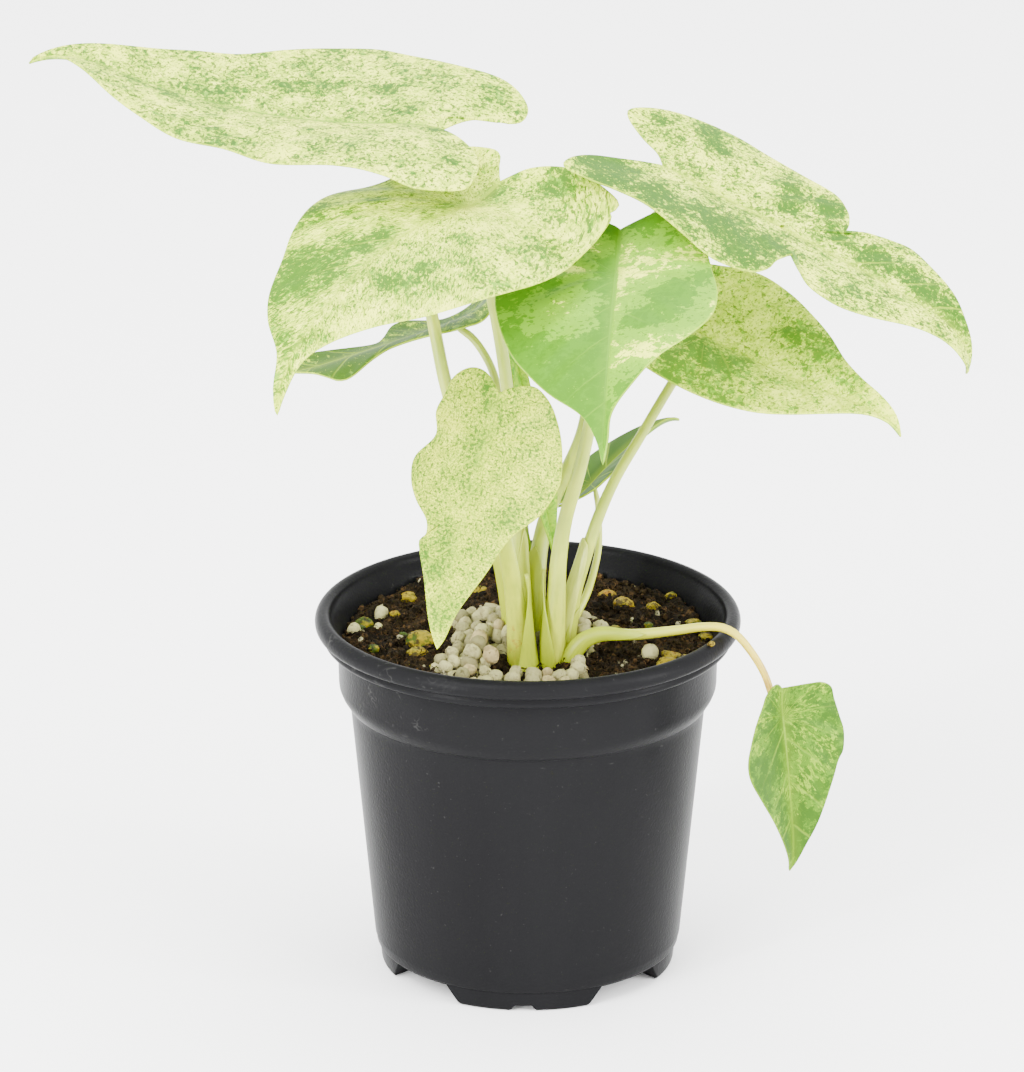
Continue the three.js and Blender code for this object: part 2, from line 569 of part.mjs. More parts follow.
// Granules dropped at random on the bed, no two closer than their spacing
function granuleHeapSolid(sleeves) {
  const random = seededRandom(granule.seed);
  const places = [];
  const inset = bedShape(-granule.inset).getPoints();
  const area = new THREE.Box2().setFromPoints(inset);
  for (let i = 0; i < granule.tries; i++) {
    const x = THREE.MathUtils.lerp(area.min.x, area.max.x, random());
    const y = THREE.MathUtils.lerp(area.min.y, area.max.y, random());
    const free = places.every((p) => Math.hypot(p.x - x, p.y - y) > granule.spacing);
    if (free && isInside(x, y, inset)) places.push({ x, y });
  }
  let heap = bedSolid(0, bed.top);
  for (const { x, y } of places) {
    const nearStalks = Math.max(0, 1 - Math.hypot(x - bed.x, y - bed.y) / bed.heapRadius);
    const z = bed.top + 0.4 + soil.slope * y + bed.heap * nearStalks * random();
    const size = granule.radius * (1 + granule.spread * (random() - 0.5));
    heap = heap.add(granuleSolid(x, y, z, size, random));
  }
  heap = heap.intersect(bedSolid(0, pot.height));
  for (const sleeve of sleeves) heap = heap.subtract(sleeve);
  return largestBody(heap);
}

// The soil's surface: a slope towards the back with low mounds on it
function soilHeight(x, y) {
  return soil.level + soil.slope * y + 0.7 * Math.sin(0.31 * x + 1.2) * Math.cos(0.27 * y)
    + 0.4 * Math.sin(0.7 * x - 0.5 * y);
}

function soilSolid(sleeves) {
  const floor = pot.footHeight + pot.floorThickness + gap;
  const wallHeights = [floor + 0.6, pot.stepHeight - 2.4, pot.stepHeight + 4, soil.level];
  const wall = wallHeights.map((z) => [innerWallRadius(z) - gap, z]);
  const surfaceRadius = wall[wall.length - 1][0] - 0.2;
  const surface = [];
  for (let ring = soil.rings; ring >= 0; ring--) {
    surface.push([(surfaceRadius * ring) / soil.rings, soil.level + 1]);
  }
  const body = lathe([[0, floor], ...wall, ...surface], pot.facets);
  const position = body.attributes.position;
  for (let i = 0; i < position.count; i++) {
    if (position.getZ(i) < soil.level + 0.5) continue;
    position.setZ(i, soilHeight(position.getX(i), position.getY(i)));
  }
  let ground = toSolid(body);
  const random = seededRandom(granule.seed + 1);
  for (const [x, y, size] of [...looseGranules, ...lumps]) {
    ground = ground.add(granuleSolid(x, y, soilHeight(x, y) + 0.3 * size, size, random));
  }
  ground = ground.subtract(bedSolid(gap, pot.height)).subtract(cormSolid(gap + cormRoom));
  for (const sleeve of sleeves) ground = ground.subtract(sleeve);
  return largestBody(ground);
}

// Assembly

const plant = new THREE.Group();
const sleeves = leaves.map((leaf) => stalkSolid(leaf, gap));
leaves.forEach((leaf, i) => {
  const room = bladeSolid(leaf, bladeThickness + 2 * gap);
  let stalk = stalkSolid(leaf, 0).subtract(room);
  for (const sleeve of sleeves.slice(0, i)) stalk = stalk.subtract(sleeve);
  plant.add(toMesh(`leaf_${leaf.name}_blade`, bladeSolid(leaf, bladeThickness), leaf.colour, 0.45));
  plant.add(toMesh(`leaf_${leaf.name}_stalk`, largestBody(stalk), 0xcfd692, 0.5));
});
plant.add(toMesh("corm", cormSolid(0), 0x8a6a48, 0.9));
plant.add(toMesh("granules", granuleHeapSolid(sleeves), 0xcfcbb8, 0.85));
plant.add(toMesh("soil", soilSolid(sleeves), 0x33241a, 1));
plant.add(toMesh("pot", potSolid(), 0x2b2c2e, 0.42));

const outlineBox = new THREE.Box3().setFromObject(plant);
const middle = outlineBox.getCenter(new THREE.Vector3());
plant.position.set(-middle.x, -middle.y, -outlineBox.min.z);

export default plant;
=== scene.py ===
import itertools
import math

import bpy
import numpy as np
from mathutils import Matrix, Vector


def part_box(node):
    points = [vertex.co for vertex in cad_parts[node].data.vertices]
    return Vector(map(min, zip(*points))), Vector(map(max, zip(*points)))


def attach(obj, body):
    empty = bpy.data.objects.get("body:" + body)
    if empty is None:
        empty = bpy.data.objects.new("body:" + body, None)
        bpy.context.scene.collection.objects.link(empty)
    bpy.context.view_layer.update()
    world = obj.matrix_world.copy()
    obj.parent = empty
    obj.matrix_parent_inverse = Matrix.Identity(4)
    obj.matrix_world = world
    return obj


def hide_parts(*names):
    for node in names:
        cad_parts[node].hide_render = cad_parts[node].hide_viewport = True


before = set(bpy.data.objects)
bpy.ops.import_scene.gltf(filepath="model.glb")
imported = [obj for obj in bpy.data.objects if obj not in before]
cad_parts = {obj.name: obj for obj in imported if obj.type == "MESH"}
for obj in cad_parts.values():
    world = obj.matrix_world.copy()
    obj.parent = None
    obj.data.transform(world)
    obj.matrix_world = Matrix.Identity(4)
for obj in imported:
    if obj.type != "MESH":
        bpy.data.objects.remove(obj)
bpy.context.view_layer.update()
mm = 0.001

potLow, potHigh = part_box("pot")
potAxis = np.array([(potLow[0] + potHigh[0]) / 2, (potLow[1] + potHigh[1]) / 2, 0])
print("frame loaded, pot axis at", potAxis)

# Camera: where it aims, how far off it stands, and the focal length in pixels of the picture

view = dict(
    distance=1500, elevation=19.52, target=(-3.89, 0, 111.1), focalPixels=6115, longSide=1072, sensor=36,
    nearest=0.05, farthest=50,
)


def addObject(name, data):
    # An object in the scene that holds this mesh, lamp or camera
    made = bpy.data.objects.new(name, data)
    bpy.context.scene.collection.objects.link(made)
    return made


def placeCamera():
    # Back from the target by the distance, raised by the elevation, and turned to look at it
    camera = addObject("camera", bpy.data.cameras.new("camera"))
    elevation = math.radians(view["elevation"])
    back = np.array([0, -math.cos(elevation), math.sin(elevation)]) * view["distance"]
    camera.location = (np.array(view["target"]) + back) * mm + potAxis
    camera.rotation_euler = (math.pi / 2 - elevation, 0, 0)
    camera.data.sensor_width = view["sensor"]
    camera.data.lens = view["sensor"] * view["focalPixels"] / view["longSide"]
    camera.data.clip_start = view["nearest"]
    camera.data.clip_end = view["farthest"]
    bpy.context.scene.camera = camera


placeCamera()

# Meshes


def gridFaces(rows, columns, closed=False, start=0, flip=False):
    # Quads between neighbouring rows of a grid; closed joins the last column to the first
    row = np.arange(rows - 1)[:, None] * columns
    column = np.arange(columns if closed else columns - 1)[None, :]
    following = (column + 1) % columns
    corners = [row + column, row + following, row + columns + following, row + columns + column]
    quads = np.stack(corners, axis=-1).reshape(-1, 4) + start
    return quads[:, ::-1] if flip else quads


def fanFaces(pole, ring, flip=False):
    # Triangles from one pole to each step of a closed ring of points
    fan = np.stack([np.full(len(ring), pole), ring, np.roll(ring, -1)], axis=-1)
    return fan[:, ::-1] if flip else fan


def closedFaces(rows, columns, flip=False):
    # A grid closed all round, and fans to the two poles that follow its points
    ring = np.arange(columns)
    first = fanFaces(rows * columns, ring, flip=not flip)
    last = fanFaces(rows * columns + 1, ring + (rows - 1) * columns, flip=flip)
    return [gridFaces(rows, columns, closed=True, flip=flip), first, last]


def evenAngles(count):
    # So many angles evenly round a full turn, the first at 0
    return np.linspace(0, 2 * math.pi, count, endpoint=False)


def ringPoints(section, angle):
    # Each (radius, height) of the section carried round the axis: the radius times the angle's
    # cosine and sine, at that height
    x = section[:, :1] * np.cos(angle)
    y = section[:, :1] * np.sin(angle)
    return np.stack([x, y, np.broadcast_to(section[:, 1:], x.shape)], axis=-1)


def pathPoints(centre, front, aside, reach, broad, angle):
    # Points round a path: reach times the angle's sine to the front, and its cosine aside, where
    # it is made broader
    forward = front[:, None] * (reach * np.sin(angle))[..., None]
    sideways = aside[:, None] * (reach * broad * np.cos(angle))[..., None]
    return centre[:, None] + (forward + sideways)


def vertexNormals(points, faceSets):
    # The sum of the normals of the faces round each point, made one unit long
    total = np.zeros_like(points)
    for faces in faceSets:
        a, b, c, d = (points[faces[:, k]] for k in (0, 1, 2, -1))
        normal = np.cross(c - a, d - b) if faces.shape[1] == 4 else np.cross(b - a, c - a)
        for k in range(faces.shape[1]):
            np.add.at(total, faces[:, k], normal)
    return total / np.maximum(np.linalg.norm(total, axis=1, keepdims=True), 1e-12)


def solidMesh(name, points, faceSets):
    # A mesh in metres at the pot's axis, from points in millimetres and all the sets of faces
    mesh = bpy.data.meshes.new(name)
    faces = [face for faceSet in faceSets for face in faceSet.tolist()]
    mesh.from_pydata((points * mm + potAxis).tolist(), [], faces)
    return mesh


def makePiece(name, points, faceSets, material, values=None, maps=None, smooth=True):
    # points in millimetres; values are one number a point; maps give each face corner its place
    mesh = solidMesh(name, points, faceSets)
    for key, value in (values or {}).items():
        mesh.attributes.new(key, "FLOAT", "POINT").data.foreach_set("value", value.astype(np.float32))
    for key, corners in (maps or {}).items():
        layer = mesh.uv_layers.new(name=key)
        layer.data.foreach_set("uv", corners.astype(np.float32).ravel())
    mesh.polygons.foreach_set("use_smooth", np.full(len(mesh.polygons), smooth))
    mesh.materials.append(material)
    mesh.update()
    piece = addObject(name, mesh)
    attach(piece, "root")
    return piece


def perCorner(faceSets, perPoint):
    # A point's place in a map, repeated at each corner of the faces
    return np.concatenate([perPoint[faces].reshape(-1, 2) for faces in faceSets])


# Curves and noise


def smoothLine(points, count, power=0.5, repeatEnds=False, fine=40):
    # A Catmull-Rom curve through the points, cut into evenly long steps. Its knots lie the
    # distance to the power apart. The ends are repeated, or carried on in a straight line.
    points = np.asarray(points, float)
    before = points[0] if repeatEnds else 2 * points[0] - points[1]
    after = points[-1] if repeatEnds else 2 * points[-1] - points[-2]
    knots = np.vstack([before, points, after])
    step = np.maximum(np.linalg.norm(np.diff(knots, axis=0), axis=1), 1e-9) ** power
    place = np.linspace(0, len(points) - 1, fine * (len(points) - 1) + 1)
    piece = np.minimum(place.astype(int), len(points) - 2)
    part = (place - piece)[:, None]
    a, b, c, d = (knots[piece + k] for k in range(4))
    da, db, dc = (step[piece + k][:, None] for k in range(3))
    leave = ((b - a) / da - (c - a) / (da + db) + (c - b) / db) * db
    arrive = ((c - b) / db - (d - b) / (db + dc) + (d - c) / dc) * db
    curve = (2 * b - 2 * c + leave + arrive) * part**3
    curve = curve + (-3 * b + 3 * c - 2 * leave - arrive) * part**2 + leave * part + b
    along = np.concatenate([[0], np.cumsum(np.linalg.norm(np.diff(curve, axis=0), axis=1))])
    wanted = np.linspace(0, along[-1], count + 1)
    return np.stack([np.interp(wanted, along, curve[:, k]) for k in range(points.shape[1])], axis=1)


def softNoise(points, size, seed):
    # Random values from -1 to 1 on a lattice of cells of this size, blended smoothly between. A
    # lattice point's value comes from its whole numbers, multiplied and folded over each other.
    place = np.asarray(points, float) / size + 11.3 * seed
    cell = np.floor(place).astype(np.int64)
    part = ease(0, 1, place - cell)
    total = np.zeros(len(place))
    for corner in np.ndindex(*(2,) * place.shape[1]):
        weight = np.prod(np.where(np.array(corner) == 1, part, 1 - part), axis=1)
        folded = (cell + np.array(corner)) @ np.array([73856093, 19349663, 83492791])[: place.shape[1]]
        for shift, factor in ((13, 1274126177), (15, 668265263)):
            folded = (folded ^ (folded >> shift)) * factor & 0x7FFFFFFF
        total += weight * (folded / 0x40000000 - 1)
    return total


def roughNoise(points, size, layers, seed):
    # Layers of soft noise, each half as large and a little more than half as strong as the last
    total = np.zeros(len(points))
    for layer in range(layers):
        total += 0.55**layer * softNoise(points, size / 2**layer, seed + 3.7 * layer)
    return total


def ease(low, high, value):
    # 0 below low and 1 above high, with a smooth rise between
    part = np.clip((value - low) / (high - low), 0, 1)
    return part * part * (3 - 2 * part)


# Materials


def paint(red, green, blue):
    # A colour as a screen shows it, 0 to 255, turned into the linear one that a shader takes
    part = np.array([red, green, blue]) / 255
    linear = np.where(part <= 0.04045, part / 12.92, ((part + 0.055) / 1.055) ** 2.4)
    return (*linear.tolist(), 1)


def dimmed(colour, share):
    # The colour times the share
    return tuple(share * c for c in colour[:3]) + (1,)


class Skin:
    # A material in the making. Each method adds nodes to its tree and gives back their output: fall
    # is 1 less the rise, between carries 0 to 1 over to low to high, and parts gives x, y and z.

    def __init__(self, name):
        self.material = bpy.data.materials.new(name)
        self.material.use_nodes = True
        self.tree = self.material.node_tree
        self.tree.nodes.clear()

    def node(self, kind, inputs=None, **settings):
        # An input that is another node's socket is joined, and a value is set
        made = self.tree.nodes.new("ShaderNode" + kind)
        for key, value in settings.items():
            setattr(made, key, value)
        for key, value in (inputs or {}).items():
            if isinstance(value, bpy.types.NodeSocket):
                self.tree.links.new(value, made.inputs[key])
            else:
                made.inputs[key].default_value = value
        return made.outputs

    def place(self):
        return self.node("TexCoord")["Object"]

    def map(self, name):
        return self.node("UVMap", uv_map=name)["UV"]

    def attribute(self, name):
        return self.node("Attribute", attribute_name=name)["Fac"]

    def parts(self, vector):
        return self.node("SeparateXYZ", {0: vector})

    def sums(self, operation, first, second=0.0):
        return self.node("Math", {0: first, 1: second}, operation=operation)[0]

    def times(self, first, second):
        return self.sums("MULTIPLY", first, second)

    def plus(self, first, second):
        return self.sums("ADD", first, second)

    def minus(self, first, second):
        return self.sums("SUBTRACT", first, second)

    def fromMiddle(self, value):
        # How far the value is from a half
        return self.sums("ABSOLUTE", self.minus(value, 0.5))

    def rise(self, value, low, high):
        # 0 where the value is below low, 1 where it is above high
        inputs = {"Value": value, "From Min": low, "From Max": high}
        return self.node("MapRange", inputs, interpolation_type="SMOOTHSTEP")["Result"]

    def fall(self, value, low, high):
        return self.minus(1.0, self.rise(value, low, high))

    def between(self, value, low, high):
        return self.node("MapRange", {"Value": value, "To Min": low, "To Max": high})[0]

    def mixed(self, share, first, second):
        return self.node("Mix", {0: share, 6: first, 7: second}, data_type="RGBA")[2]

    def over(self, colour, share, tone, amount=None):
        # Lays a tone over the colour where the share is 1, as strongly as the amount says
        if amount is not None:
            share = self.times(share, amount)
        return self.mixed(share, colour, tone)

    def noise(self, place, scale, detail=4.0, roughness=0.6, distortion=0.0):
        inputs = {"Vector": place, "Scale": scale, "Detail": detail, "Roughness": roughness}
        return self.node("TexNoise", {**inputs, "Distortion": distortion})["Fac"]

    def stretched(self, place, scale, shift=(0, 0, 0)):
        return self.node("Mapping", {"Vector": place, "Scale": scale, "Location": shift})["Vector"]

    def bump(self, height, strength, distance):
        return self.node("Bump", {"Height": height, "Strength": strength, "Distance": distance})[0]

    def surface(self, colour, roughness, bump=None, specular=0.5, glow=0.0, more=None):
        # Finishes the material. Glow is the share of the light that shines through a thin skin.
        normal = {"Normal": bump} if bump else {}
        inputs = {"Base Color": colour, "Roughness": roughness, "Specular IOR Level": specular}
        shader = self.node("BsdfPrincipled", {**inputs, **normal, **(more or {})})[0]
        if glow:
            through = self.node("BsdfTranslucent", {"Color": colour, **normal})[0]
            shader = self.node("MixShader", {0: glow, 1: shader, 2: through})[0]
        self.node("OutputMaterial", {"Surface": shader})
        return self.material


# Floor and lights

studio = dict(
    floorReach=6.0, floorColour=paint(250, 250, 250), worldColour=paint(255, 255, 255), worldStrength=3.7,
    aim=(0, 0, 0.1),
    lights=[
        # name, place from the pot's foot in metres, width, height, watts
        ("keyLight", (-0.9, -1.2, 1.5), 1.1, 1.1, 78),
        ("fillLight", (1.3, -0.9, 0.9), 0.9, 0.9, 36),
        ("topLight", (0.1, 0.5, 1.8), 1.2, 1.2, 38),
        ("leftStrip", (-1.0, -1.02, 0.12), 0.07, 0.8, 50),
        ("rightStrip", (1.33, -0.5, 0.12), 0.1, 0.8, 36),
    ],
)


def makeStudio():
    # A faintly grainy floor, an even white world, and lamps that are turned towards the aim
    skin = Skin("studioFloor")
    grain = skin.noise(skin.place(), 3.0, 3.0)
    colour = skin.mixed(grain, dimmed(studio["floorColour"], 0.97), studio["floorColour"])
    reach = studio["floorReach"]
    mesh = bpy.data.meshes.new("studioFloor")
    corners = [(-reach, -reach, 0), (reach, -reach, 0), (reach, reach, 0), (-reach, reach, 0)]
    mesh.from_pydata(corners, [], [(0, 1, 2, 3)])
    mesh.materials.append(skin.surface(colour, 0.9))
    floor = addObject("studioFloor", mesh)
    world = bpy.data.worlds.new("studioWorld")
    world.use_nodes = True
    background = world.node_tree.nodes["Background"]
    background.inputs["Color"].default_value = studio["worldColour"]
    background.inputs["Strength"].default_value = studio["worldStrength"]
    bpy.context.scene.world = world
    for name, place, width, height, watts in studio["lights"]:
        lamp = bpy.data.lights.new(name, "AREA")
        lamp.shape = "RECTANGLE"
        lamp.size = width
        lamp.size_y = height
        lamp.energy = watts
        holder = addObject(name, lamp)
        holder.location = potAxis + np.array(place)
        aim = potAxis + np.array(studio["aim"]) - np.array(holder.location)
        tilt = math.acos(-aim[2] / np.linalg.norm(aim))
        holder.rotation_euler = [tilt, 0, math.atan2(aim[1], aim[0]) - math.pi / 2]


makeStudio()
print("studio ready")

# Pot: a profile turned round the axis, and four feet cut from a ring

pot = dict(
    rimRadius=52.5, mouthRadius=48.7, height=92.1, bandRadius=46.9, stepHeight=69.4, lowerRadius=43.9,
    baseRadius=38.1, footHeight=4.9, floorThickness=2, segments=256, sharpAngle=38,
    colour=paint(17, 17, 18), worn=paint(76, 76, 74), edge=paint(27, 27, 28), roughness=(0.28, 0.37),
)
foot = dict(
    count=4, turn=-1.7, innerRadius=31, gapBelow=12.9, gapAbove=8.8, notchBelow=4, notchAbove=2.1,
    notchHeight=1.7, cutInside=8, cutOutside=22, intoFloor=0.9,
)
drain = dict(radius=3.5, circleRadius=25, facets=32, length=8, below=3)


def potMaterial():
    # Satin black plastic: flow marks down the wall, fine scuffs, specks of dust, and dried water on
    # the left of the band
    skin = Skin("potPlastic")
    place = skin.stretched(skin.place(), (1, 1, 1), tuple(-potAxis))
    flow = skin.noise(skin.stretched(place, (1, 1, 0.22)), 55.0)
    cloud = skin.noise(place, 28.0)
    scratch = skin.rise(skin.noise(skin.stretched(place, (1, 1, 7)), 120.0, 6.0, 0.72), 0.66, 0.74)
    speck = skin.rise(skin.noise(place, 900.0, 3.0), 0.68, 0.74)
    x, y, z = skin.parts(place)
    atLeft = skin.rise(skin.times(x, -1.0), 0.012, 0.04)
    inFront = skin.rise(skin.times(y, -1.0), 0.0, 0.02)
    onBand = skin.times(skin.times(skin.rise(z, 0.069, 0.074), atLeft), inFront)
    lines = skin.fall(skin.fromMiddle(skin.noise(place, 190.0, 3.0, 0.5, 0.8)), 0.004, 0.02)
    chosen = skin.rise(skin.noise(place, 150.0, 3.0), 0.52, 0.64)
    water = skin.times(skin.times(lines, chosen), onBand)
    colour = skin.mixed(cloud, dimmed(pot["colour"], 0.82), pot["colour"])
    colour = skin.over(colour, flow, pot["edge"], 0.3)
    colour = skin.over(colour, skin.sums("MAXIMUM", scratch, speck), pot["worn"], 0.16)
    colour = skin.over(colour, water, pot["worn"], 0.3)
    rough = skin.plus(skin.between(flow, *pot["roughness"]), skin.times(water, 0.2))
    height = skin.plus(skin.noise(place, 1400.0, 2.0, 0.5), skin.times(cloud, 3.0))
    return skin.surface(colour, rough, skin.bump(height, 0.35, 0.0002), 0.02)


def turnProfile(profile, segments):
    # Each profile point (radius, height) carried round the axis; the ends on the axis become poles
    profile = np.asarray(profile, float)
    points = ringPoints(profile[1:-1], evenAngles(segments)).reshape(-1, 3)
    points = np.vstack([points, [[0, 0, profile[0, 1]], [0, 0, profile[-1, 1]]]])
    return points, closedFaces(len(profile) - 2, segments)


def potProfile():
    # Up the outside, over the rim and down the inside, in small steps out and up from the pot's
    # main radii and heights
    base, lower, band = pot["baseRadius"], pot["lowerRadius"], pot["bandRadius"]
    rim, mouth = pot["rimRadius"], pot["mouthRadius"]
    low, step, high = pot["footHeight"], pot["stepHeight"], pot["height"]
    floor = low + pot["floorThickness"]
    near = lambda radius, height, steps: [(radius + out, height + up) for out, up in steps]
    outer = [
        (30, low),
        *near(base, low, [(-1.4, 0), (-0.7, 0.4), (-0.35, 0.9), (-0.15, 2.2), (0, 2.6), (0.1, 3.2)]),
        *near(lower, step, [(-0.1, -2.2), (0, -1.2), (0.3, -0.2), (1, 0.2)]),
        *near(band, step, [(-1.6, 0.9), (-0.9, 2), (-0.35, 3.4), (-0.2, 4.6)]),
        *near(band, high, [(0, -8.1), (0.15, -7.6)]),
    ]
    rolled = smoothLine([
        (band + 1.2, high - 7.35),
        *near(rim, high, [(-2.9, -7.2), (-2.15, -6.7), (-1.9, -5.9), (-2.1, -5.2), (-2.05, -4.75)]),
        *near(rim, high, [(-1.1, -4.45), (-0.3, -3.8), (0, -2.7), (-0.2, -1.5), (-0.9, -0.5), (-2, 0)]),
        *near(mouth, high, [(0.9, -0.15), (0.2, -0.8), (-0.1, -1.7), (-0.9, -3)]),
    ], 44).tolist()
    inner = [
        (band - 1, high - 6.5), (band - 1.4, step + 4), (lower - 1.2, step - 2.4),
        (base - 1.2, floor + 0.7), (base - 1.9, floor), (30, floor),
    ]
    return [(0, low), *outer, *rolled, *inner, (0, floor)]


def makeCutter(points, faceSets):
    # A solid that is only there to be cut away
    return addObject("cutter", solidMesh("cutter", points, faceSets))


def barCutter(halfBelow, halfAbove, height, angle):
    # A bar with a trapezoid section that lies outwards from the axis
    section = np.array([(-halfBelow, -1), (halfBelow, -1), (halfAbove, height), (-halfAbove, height)])
    reach = np.repeat([foot["innerRadius"] - foot["cutInside"], foot["innerRadius"] + foot["cutOutside"]], 4)
    across = np.tile(section[:, 0], 2)
    out = np.array([math.cos(angle), math.sin(angle)])
    side = np.array([-out[1], out[0]])
    flat = reach[:, None] * out + across[:, None] * side
    points = np.column_stack([flat, np.tile(section[:, 1], 2)])
    ends = np.array([[3, 2, 1, 0], [4, 5, 6, 7]])
    return makeCutter(points, [gridFaces(2, 4, closed=True), ends])


def drainCutter(x, y):
    # An upright cylinder through the floor
    profile = [(0, 0), (drain["radius"], 0), (drain["radius"], drain["length"]), (0, drain["length"])]
    points, faces = turnProfile(profile, drain["facets"])
    return makeCutter(points + [x, y, pot["footHeight"] - drain["below"]], faces)


def cutAway(piece, cutters):
    # Takes the cutters out of the piece, removes them, and shades the piece's sharp edges flat
    for cutter in cutters:
        cut = piece.modifiers.new("cut", "BOOLEAN")
        cut.operation = "DIFFERENCE"
        cut.solver = "EXACT"
        cut.object = cutter
    bpy.context.view_layer.update()
    shown = piece.evaluated_get(bpy.context.evaluated_depsgraph_get())
    mesh = bpy.data.meshes.new_from_object(shown)
    piece.modifiers.clear()
    piece.data = mesh
    for cutter in cutters:
        bpy.data.objects.remove(cutter)
    mesh.polygons.foreach_set("use_smooth", np.full(len(mesh.polygons), True))
    mesh.set_sharp_from_angle(angle=math.radians(pot["sharpAngle"]))


def makePot():
    # The turned shell with a hole in the middle of its floor and one before each gap of the feet,
    # and a turned ring that the gaps and notches divide into feet
    material = potMaterial()
    points, faces = turnProfile(potProfile(), pot["segments"])
    shell = makePiece("potShell", points, faces, material)
    turn = math.radians(foot["turn"])
    holes = [(0, 0)]
    for i in range(foot["count"]):
        angle = turn + (i + 0.5) * 2 * math.pi / foot["count"]
        holes.append((drain["circleRadius"] * math.cos(angle), drain["circleRadius"] * math.sin(angle)))
    cutAway(shell, [drainCutter(x, y) for x, y in holes])
    top = pot["footHeight"] + foot["intoFloor"]
    base, inside = pot["baseRadius"], foot["innerRadius"]
    section = np.array([
        (inside, 0.2), (inside + 0.2, 0), (base - 2.6, 0), (base - 2.1, 0.15), (base - 1.7, 0.5),
        (base - 1.5, 1), (base - 1, top), (inside - 1, top),
    ])
    ring = ringPoints(section, evenAngles(pot["segments"])).reshape(-1, 3)
    first = np.arange(pot["segments"])
    last = first + (len(section) - 1) * pot["segments"]
    join = np.stack([last, np.roll(last, -1), np.roll(first, -1), first], axis=-1)
    rows = gridFaces(len(section), pot["segments"], closed=True)
    feet = makePiece("potFeet", ring, [rows, join], material)
    cutters = []
    for i in range(foot["count"]):
        middle = turn + i * 2 * math.pi / foot["count"]
        gapAngle = middle + math.pi / foot["count"]
        cutters.append(barCutter(foot["gapBelow"], foot["gapAbove"], pot["footHeight"], gapAngle))
        cutters.append(barCutter(foot["notchBelow"], foot["notchAbove"], foot["notchHeight"], middle))
    cutAway(feet, cutters)
    for piece in (shell, feet):
        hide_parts("pot")


makePot()
print("pot made")

# Leaves: the joint is where the stalk meets the blade. From it the midrib runs "length" towards the
# tip on the bearing "heading", climbing at "pitch", which the droops change along the way. "fold"
# lifts each half from the midrib and "curl" bends it on outwards, left half first. "roll" tips the
# blade about its midrib, and "twist" adds to that towards the tip.

